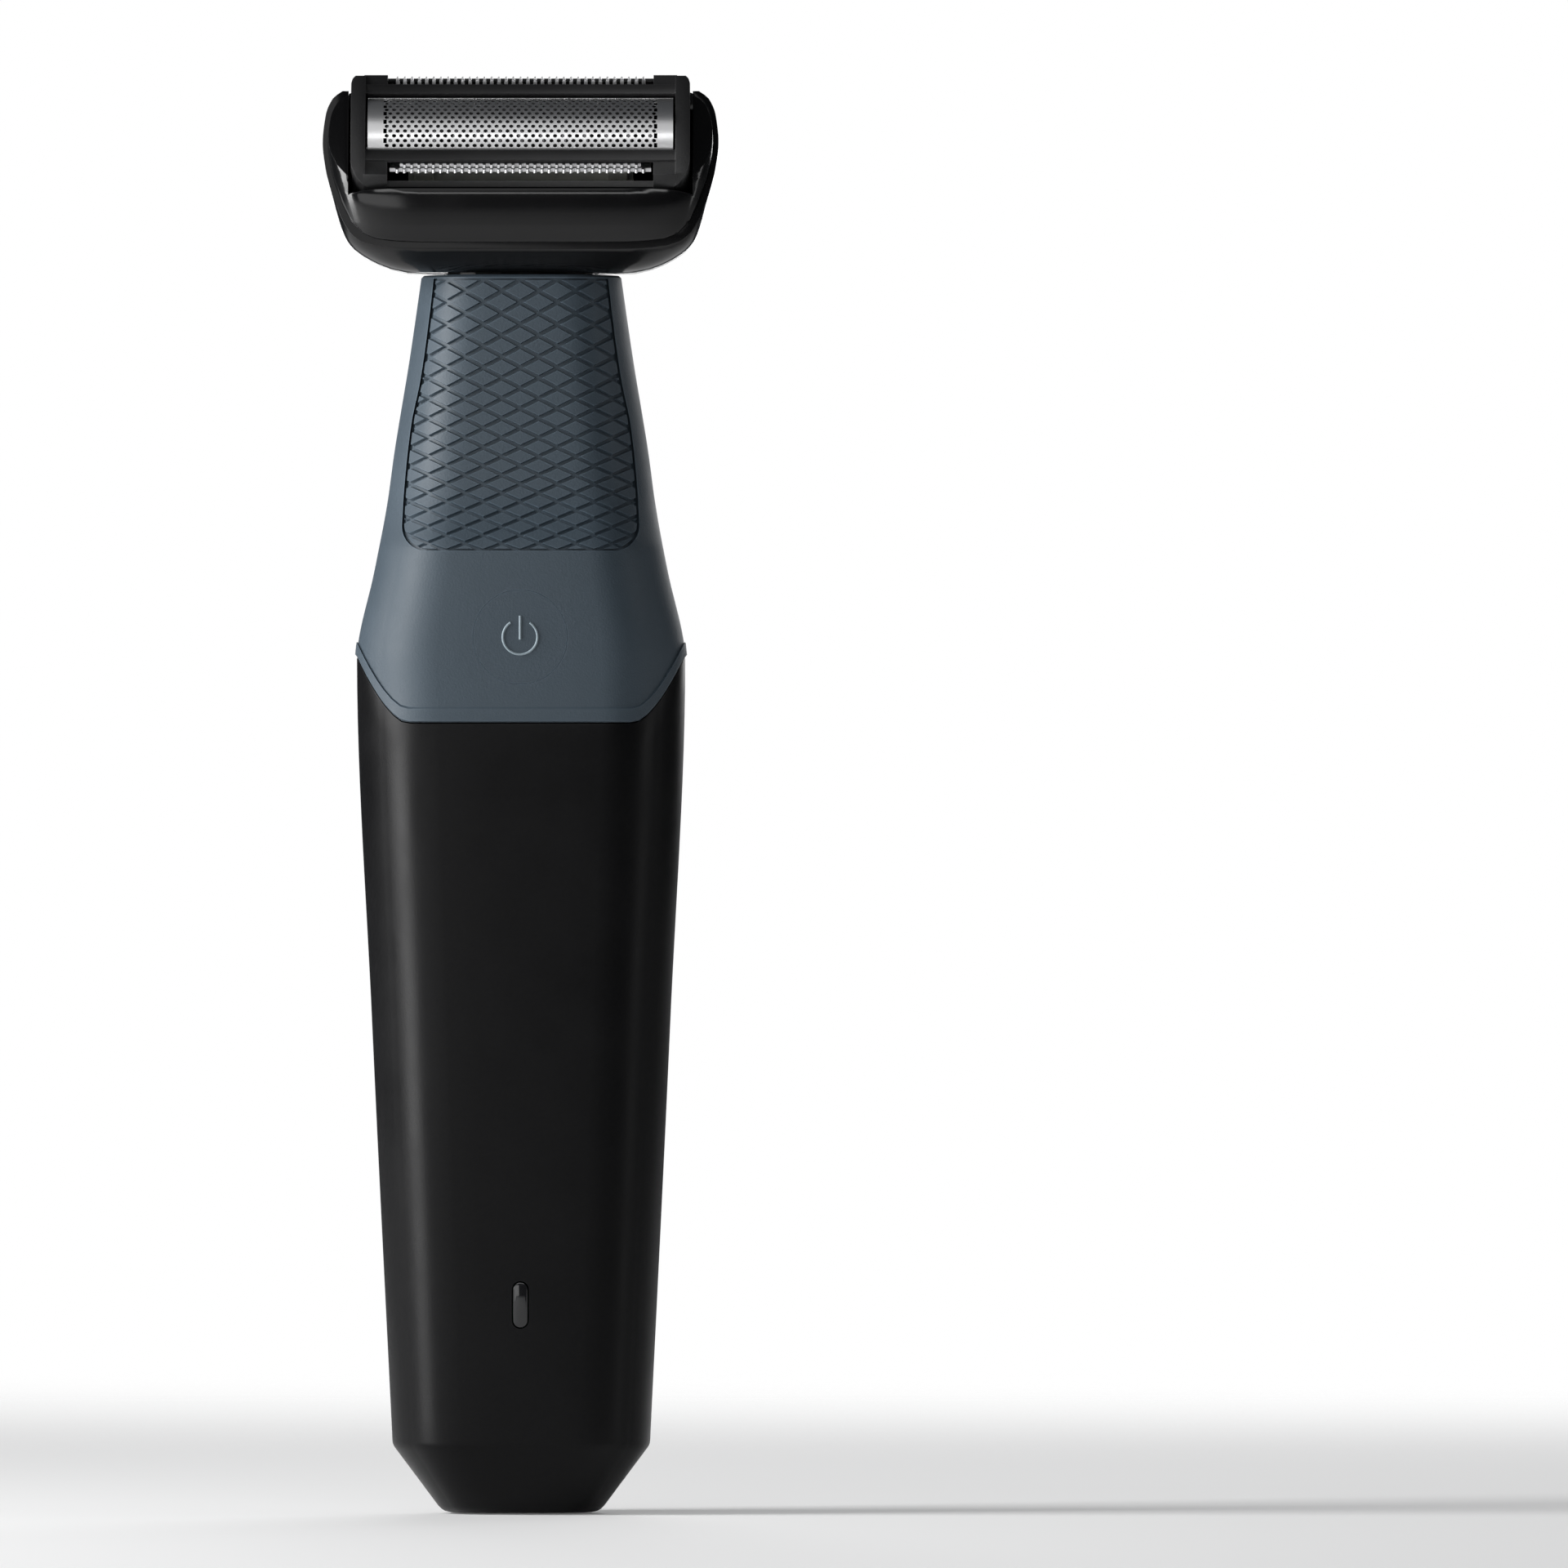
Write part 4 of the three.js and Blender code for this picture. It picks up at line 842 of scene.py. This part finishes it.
ICON_RADIUS = 2.2
ICON_GAP = math.radians(34)
ring_path = []
for k in range(49):
    angle = lerp(ICON_GAP, 2 * math.pi - ICON_GAP, k / 48)
    ring_path.append((ICON_RADIUS * math.sin(angle), BUTTON_HEIGHT + ICON_RADIUS * math.cos(angle)))
bar_path = [(0, lerp(BUTTON_HEIGHT - 0.3, BUTTON_HEIGHT + 2.7, k / 6)) for k in range(7)]
for name, path in (("icon_ring", ring_path), ("icon_bar", bar_path)):
    dress(stroke(name, path, 0.16), "power_button", "grip_rubber", look=ICON_GREY)

# %% [markdown]
# ## Head
# The head is a rounded block that leans back: a casing outside, a bezel inside its rim, and a
# pocket through both for the cassette. Both are lofted from one set of rows and cut with
# planes in the head's own frame, whose Z points out of the shaving face.

# %% Head outline
FACE_FORWARD = 12
FACE_HEIGHT = 176.5
HEAD_TURN = math.radians(60)
HEAD = Matrix.Translation((0, -FACE_FORWARD, FACE_HEIGHT)) @ Matrix.Rotation(HEAD_TURN, 4, "X")
HEAD_WIDTH = 50.4
HEAD_HEIGHT = 23.1
HEAD_BASE = GRIP_TOP + 0.3
HEAD_WALL = 1.6
SPLIT_LEVEL = -2.88
SPLIT_TILT = math.radians(12.2)
POCKET_HALF = 21.9
POCKET_LOW = -8.6
FACE_LEVEL = -1.2
FAR = 60
# Share of the height, share of the half width, front and rear.
HEAD_ROWS = [(0, .58, -10.2, 10.6), (.02, .66, -11.2, 11), (.05, .73, -12.2, 11.4), (.09, .797, -13.2, 11.7),
             (.13, .846, -14.2, 11.8), (.18, .882, -15, 11.8), (.26, .912, -15.5, 11.8),
             (.411, .95, -15.9, 11.4), (.563, .985, -15.9, 10.6), (.71, 1, -15.9, 9.2),
             (.866, .985, -15.5, 7), (.961, .948, -14.5, 4.8), (1, .9, -13.5, 3)]


def head_loft(name, inset, steps=48, count=112):
    """The head's outer form, moved inwards by an inset."""
    rings = []
    for k in range(steps + 1):
        share = k / steps
        wide, front, rear = (through([(row[0], row[i]) for row in HEAD_ROWS], share) for i in (1, 2, 3))
        half, front, rear = wide * HEAD_WIDTH / 2 - inset, front + inset, rear - inset
        z = HEAD_BASE + lerp(inset, HEAD_HEIGHT - inset, share)
        ring = []
        for j in range(count):
            angle = 2 * math.pi * j / count
            c, s = math.cos(angle), math.sin(angle)
            square = 8 if s < 0 else 3.2
            reach = (abs(c) ** square + abs(s) ** square) ** (-1 / square)
            ring.append((half * c * reach, (front + rear) / 2 + (rear - front) / 2 * s * reach, z))
        rings.append(ring)
    return loft(name, rings)


def above_split(offset):
    """Everything above the plane where the casing's rim ends."""
    level = Matrix.Translation((0, 0, SPLIT_LEVEL + offset))
    turn = HEAD @ level @ Matrix.Rotation(SPLIT_TILT, 4, "X")
    return box_solid((-FAR, -FAR, 0), (FAR, FAR, FAR), turn)


def pocket(low):
    return box_solid((-POCKET_HALF, POCKET_LOW, low), (POCKET_HALF, FAR, FAR), HEAD)


print("head", HEAD_WIDTH, "wide and", HEAD_HEIGHT, "high from", HEAD_BASE)

# %% Casing and bezel
casing = head_loft("head_casing", 0)
neck_outline = outline(GRIP_TOP - 0.1, 2.8)
neck_hole = loft("solid", [[(x, y, z) for x, y, _ in neck_outline] for z in (154, 160.4)])
carve(casing, head_loft("solid", HEAD_WALL), above_split(-0.06), pocket(-7.6), neck_hole)
rounded(casing, 0.3)
dress(casing, "head", "gloss_black", "head_housing")

BEZEL_IN = 0.6
bezel = head_loft("head_rim", BEZEL_IN)
carve(bezel, above_split(0.06), keep="INTERSECT")
under = head_loft("solid", BEZEL_IN + HEAD_WALL)
carve(under, box_solid((-FAR, -FAR, -FAR), (FAR, FAR, FACE_LEVEL - HEAD_WALL), HEAD), keep="INTERSECT")
carve(bezel, box_solid((-FAR, -FAR, FACE_LEVEL), (FAR, FAR, FAR), HEAD), under, pocket(-FAR))
rounded(bezel, 0.35, segments=3)
dress(bezel, "head", "gloss_black", "head_bezel")


# %% [markdown]
# ## Cassette frame
# The black frame that floats in the pocket and holds the foil: two end walls with a rounded
# top, two bars along the foil, and ears beside the trimmers. Its solid already has the right
# form, so a copy is cleaned of its loose triangles and gets rounded edges.


# %% Refine the frame
def refined(name, node):
    """A copy of a node's mesh with its triangles joined and its flat faces whole."""
    piece = bpy.data.objects.new(name, NODES[node].data.copy())
    bpy.context.scene.collection.objects.link(piece)
    form = bmesh.new()
    form.from_mesh(piece.data)
    bmesh.ops.remove_doubles(form, verts=form.verts, dist=1e-6)
    bmesh.ops.dissolve_limit(form, angle_limit=math.radians(1), verts=form.verts, edges=form.edges)
    form.to_mesh(piece.data)
    form.free()
    return piece


def rounded_block(half_x, half_y, corner, low, high, steps=8):
    """A block in the head's frame whose four upright edges have a corner radius."""
    ring = []
    for i, (sx, sy) in enumerate(((1, 1), (-1, 1), (-1, -1), (1, -1))):
        for k in range(steps + 1):
            angle = math.pi / 2 * (i + k / steps)
            ring.append((sx * (half_x - corner) + corner * math.cos(angle),
                         sy * (half_y - corner) + corner * math.sin(angle)))
    return loft("solid", [[HEAD @ Vector((x, y, z)) for x, y in ring] for z in (low, high)])


FRAME_HALF = (21.55, 8.27)
FRAME_CORNER = 2.6
body = refined("cassette_body", "cassette_frame")
carve(body, rounded_block(*FRAME_HALF, FRAME_CORNER, -12, 6), keep="INTERSECT")
dress(rounded(body, 0.22, 3, angle=25), "cassette", "cassette_black", "cassette_frame")

# %% [markdown]
# ## Shaving foil
# A thin steel sheet bent over the cutter, with rows of small six-sided holes, each row moved
# by half a hole. Geometry Nodes copies one six-sided cell over a grid, joins the cells, and
# rolls the flat sheet round the foil's axis. Solidify gives it a thickness.

# %% Perforated sheet
FOIL_RADIUS = 5.5
FOIL_AXIS = -3.5
HOLE_PITCH = 0.93
HOLE_ROWS = 0.62
FOIL_HALF = 19.4
PLAIN_FROM = 17.4


def foil_cell():
    """One cell of the foil: a brick-shaped border round a six-sided hole, flat, in millimetres."""
    half, tall = HOLE_PITCH / 2, HOLE_ROWS / 2
    border = [(half, -tall), (half, tall), (0, tall), (-half, tall), (-half, -tall), (0, -tall)]
    hole = [(0.3 * math.cos(a), 0.245 * math.sin(a)) for a in
            (math.radians(turn) for turn in (-32, 32, 90, 148, 212, 270))]
    faces = [(k, (k + 1) % 6, 6 + (k + 1) % 6, 6 + k) for k in range(6)]
    return new_piece("foil_cell", [(x, y, 0) for x, y in border + hole], faces)


def foil_tree():
    tree, start, end = tree_for("perforated_sheet", {
        "Cell": None, "Columns": 37, "Rows": 13, "Pitch": HOLE_PITCH * MM, "Row Pitch": HOLE_ROWS * MM,
        "Radius": FOIL_RADIUS * MM})
    given = start.outputs
    across = calc(tree, "MULTIPLY", calc(tree, "SUBTRACT", given["Columns"], 1.0), given["Pitch"])
    around = calc(tree, "MULTIPLY", calc(tree, "SUBTRACT", given["Rows"], 1.0), given["Row Pitch"])
    grid = add(tree, "GeometryNodeMeshGrid", None, Vertices_X=given["Columns"], Vertices_Y=given["Rows"],
               Size_X=across, Size_Y=around)
    place = add(tree, "ShaderNodeSeparateXYZ", None, i0=add(tree, "GeometryNodeInputPosition").outputs[0])
    row = calc(tree, "ROUND", calc(tree, "DIVIDE", place.outputs[1], given["Row Pitch"]))
    odd = calc(tree, "ABSOLUTE", calc(tree, "MODULO", row, 2.0))
    side = calc(tree, "SUBTRACT", odd, 0.5)
    shift = calc(tree, "MULTIPLY", side, calc(tree, "MULTIPLY", given["Pitch"], 0.5))
    moved = add(tree, "GeometryNodeSetPosition", None, Geometry=grid.outputs["Mesh"],
                Offset=add(tree, "ShaderNodeCombineXYZ", None, X=shift).outputs[0])
    cell = add(tree, "GeometryNodeObjectInfo", None, Object=given["Cell"])
    spread = add(tree, "GeometryNodeInstanceOnPoints", None, Points=moved.outputs[0],
                 Instance=cell.outputs["Geometry"])
    real = add(tree, "GeometryNodeRealizeInstances", None, Geometry=spread.outputs[0])
    joined = add(tree, "GeometryNodeMergeByDistance", None, Geometry=real.outputs[0], Distance=0.00002)
    at = add(tree, "ShaderNodeSeparateXYZ", None, i0=add(tree, "GeometryNodeInputPosition").outputs[0])
    angle = calc(tree, "DIVIDE", at.outputs[1], given["Radius"])
    rolled = add(tree, "ShaderNodeCombineXYZ", None, X=at.outputs[0],
                 Y=calc(tree, "MULTIPLY", given["Radius"], calc(tree, "SINE", angle)),
                 Z=calc(tree, "ADD", FOIL_AXIS * MM, calc(tree, "MULTIPLY", given["Radius"],
                                                          calc(tree, "COSINE", angle))))
    bent = add(tree, "GeometryNodeSetPosition", None, Geometry=joined.outputs[0], Position=rolled.outputs[0])
    return hand_out(tree, end, bent.outputs[0], FINISHES["foil_steel"])


def thickened(piece, depth):
    step = piece.modifiers.new("wall", "SOLIDIFY")
    step.thickness = depth * MM
    step.offset = -1
    return settle(piece)


def in_head_frame(piece):
    """Move a mesh from the head's frame, in metres, to its place."""
    turn = HEAD.copy()
    turn.translation = HEAD.translation * MM
    piece.data.transform(turn)
    return piece


cell = foil_cell()
holes = grown("foil_holes", foil_tree(), {"Cell": cell}, FINISHES["foil_steel"])
bpy.data.objects.remove(cell)
thickened(holes, 0.1)
in_head_frame(holes)
smooth(holes, 20)
dress(holes, "cassette", "foil_steel", "shaving_foil")


# %% Plain edges of the foil
def foil_strip(from_x, to_x, from_angle, to_angle, radius, steps):
    """A bent strip of the foil between two places across and two angles round its axis."""
    points, faces = [], []
    for k in range(steps + 1):
        angle = math.radians(lerp(from_angle, to_angle, k / steps))
        for x in (from_x, to_x):
            points.append((x, radius * math.sin(angle), FOIL_AXIS + radius * math.cos(angle)))
        if k:
            faces.append((2 * k - 2, 2 * k - 1, 2 * k + 1, 2 * k))
    return new_piece("strip", points, faces)


FOIL_SPREAD = 45
EDGE_FROM = 41.3
EDGE_TO = 46


def plain_edges():
    ends, sides = FOIL_RADIUS + 0.01, FOIL_RADIUS + 0.02
    strips = [foil_strip(-FOIL_HALF, -PLAIN_FROM, -FOIL_SPREAD, FOIL_SPREAD, ends, 24),
              foil_strip(PLAIN_FROM, FOIL_HALF, -FOIL_SPREAD, FOIL_SPREAD, ends, 24),
              foil_strip(-FOIL_HALF, FOIL_HALF, -EDGE_TO, -EDGE_FROM, sides, 3),
              foil_strip(-FOIL_HALF, FOIL_HALF, EDGE_FROM, EDGE_TO, sides, 3)]
    form = bmesh.new()
    for strip in strips:
        thickened(strip, 0.14)
        form.from_mesh(strip.data)
        bpy.data.objects.remove(strip)
    whole = new_piece("foil_border", [], [])
    form.to_mesh(whole.data)
    form.free()
    smooth(whole, 30)
    return in_head_frame(whole)


dress(plain_edges(), "cassette", "foil_steel")

# %% [markdown]
# ## Trimmer combs
# Above and below the foil stands a fixed comb whose teeth point away from the face. A tooth
# is modelled once, and Geometry Nodes copies it along a line and joins the root plate to it.
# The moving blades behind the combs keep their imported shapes.

# %% Trimmer combs
TOOTH_PITCH = 0.92
COMB_HALF = 16.6
COMB_THICK = 0.45
TRIMMER_PLACE = (0, 7.2, 0.2)
TRIMMER_LEAN = math.radians(-40)


def comb_tooth():
    """A tooth that points up Z with its tip at zero, in millimetres."""
    side = [(0.25, -1.5), (0.23, -0.6), (0.17, -0.22), (0.09, -0.04), (0, 0)]
    outline_ring = side + [(-x, z) for x, z in reversed(side[:-1])]
    return loft("tooth", [[(x, y, z) for x, z in outline_ring] for y in (0, -COMB_THICK)])


def comb_tree():
    tree, start, end = tree_for("comb", {
        "Tooth": None, "Teeth": 35, "Pitch": TOOTH_PITCH * MM, "Width": 2 * COMB_HALF * MM,
        "Depth": 4.2 * MM, "Thickness": COMB_THICK * MM})
    given = start.outputs
    from_x = calc(tree, "MULTIPLY", calc(tree, "SUBTRACT", given["Teeth"], 1.0),
                  calc(tree, "MULTIPLY", given["Pitch"], -0.5))
    line = add(tree, "GeometryNodeMeshLine", None, Count=given["Teeth"],
               Start_Location=add(tree, "ShaderNodeCombineXYZ", None, X=from_x).outputs[0],
               Offset=add(tree, "ShaderNodeCombineXYZ", None, X=given["Pitch"]).outputs[0])
    tooth = add(tree, "GeometryNodeObjectInfo", None, Object=given["Tooth"])
    spread = add(tree, "GeometryNodeInstanceOnPoints", None, Points=line.outputs[0],
                 Instance=tooth.outputs["Geometry"])
    size = add(tree, "ShaderNodeCombineXYZ", None, X=given["Width"], Y=given["Thickness"], Z=given["Depth"])
    plate = add(tree, "GeometryNodeMeshCube", None, Size=size.outputs[0])
    down = calc(tree, "SUBTRACT", calc(tree, "MULTIPLY", given["Depth"], -0.5), 0.0013)
    back = calc(tree, "MULTIPLY", given["Thickness"], -0.5)
    shift = add(tree, "ShaderNodeCombineXYZ", None, Y=back, Z=down)
    moved = add(tree, "GeometryNodeTransform", None, Geometry=plate.outputs[0], Translation=shift.outputs[0])
    whole = tree.nodes.new("GeometryNodeJoinGeometry")
    tree.links.new(moved.outputs[0], whole.inputs[0])
    tree.links.new(spread.outputs[0], whole.inputs[0])
    real = add(tree, "GeometryNodeRealizeInstances", None, Geometry=whole.outputs[0])
    return hand_out(tree, end, real.outputs[0], FINISHES["blade_steel"])


tooth = comb_tooth()
combs = comb_tree()
for word, turn in (("upper", 0), ("lower", math.pi)):
    comb = grown(word + "_comb", combs, {"Tooth": tooth}, FINISHES["blade_steel"])
    lean = Matrix.Rotation(TRIMMER_LEAN, 4, "X")
    place = HEAD @ Matrix.Rotation(turn, 4, "Z") @ Matrix.Translation(TRIMMER_PLACE) @ lean
    place.translation = place.translation * MM
    comb.data.transform(place)
    smooth(comb, 20)
    dress(comb, "cassette", "blade_steel", word + "_trimmer_comb")
bpy.data.objects.remove(tooth)
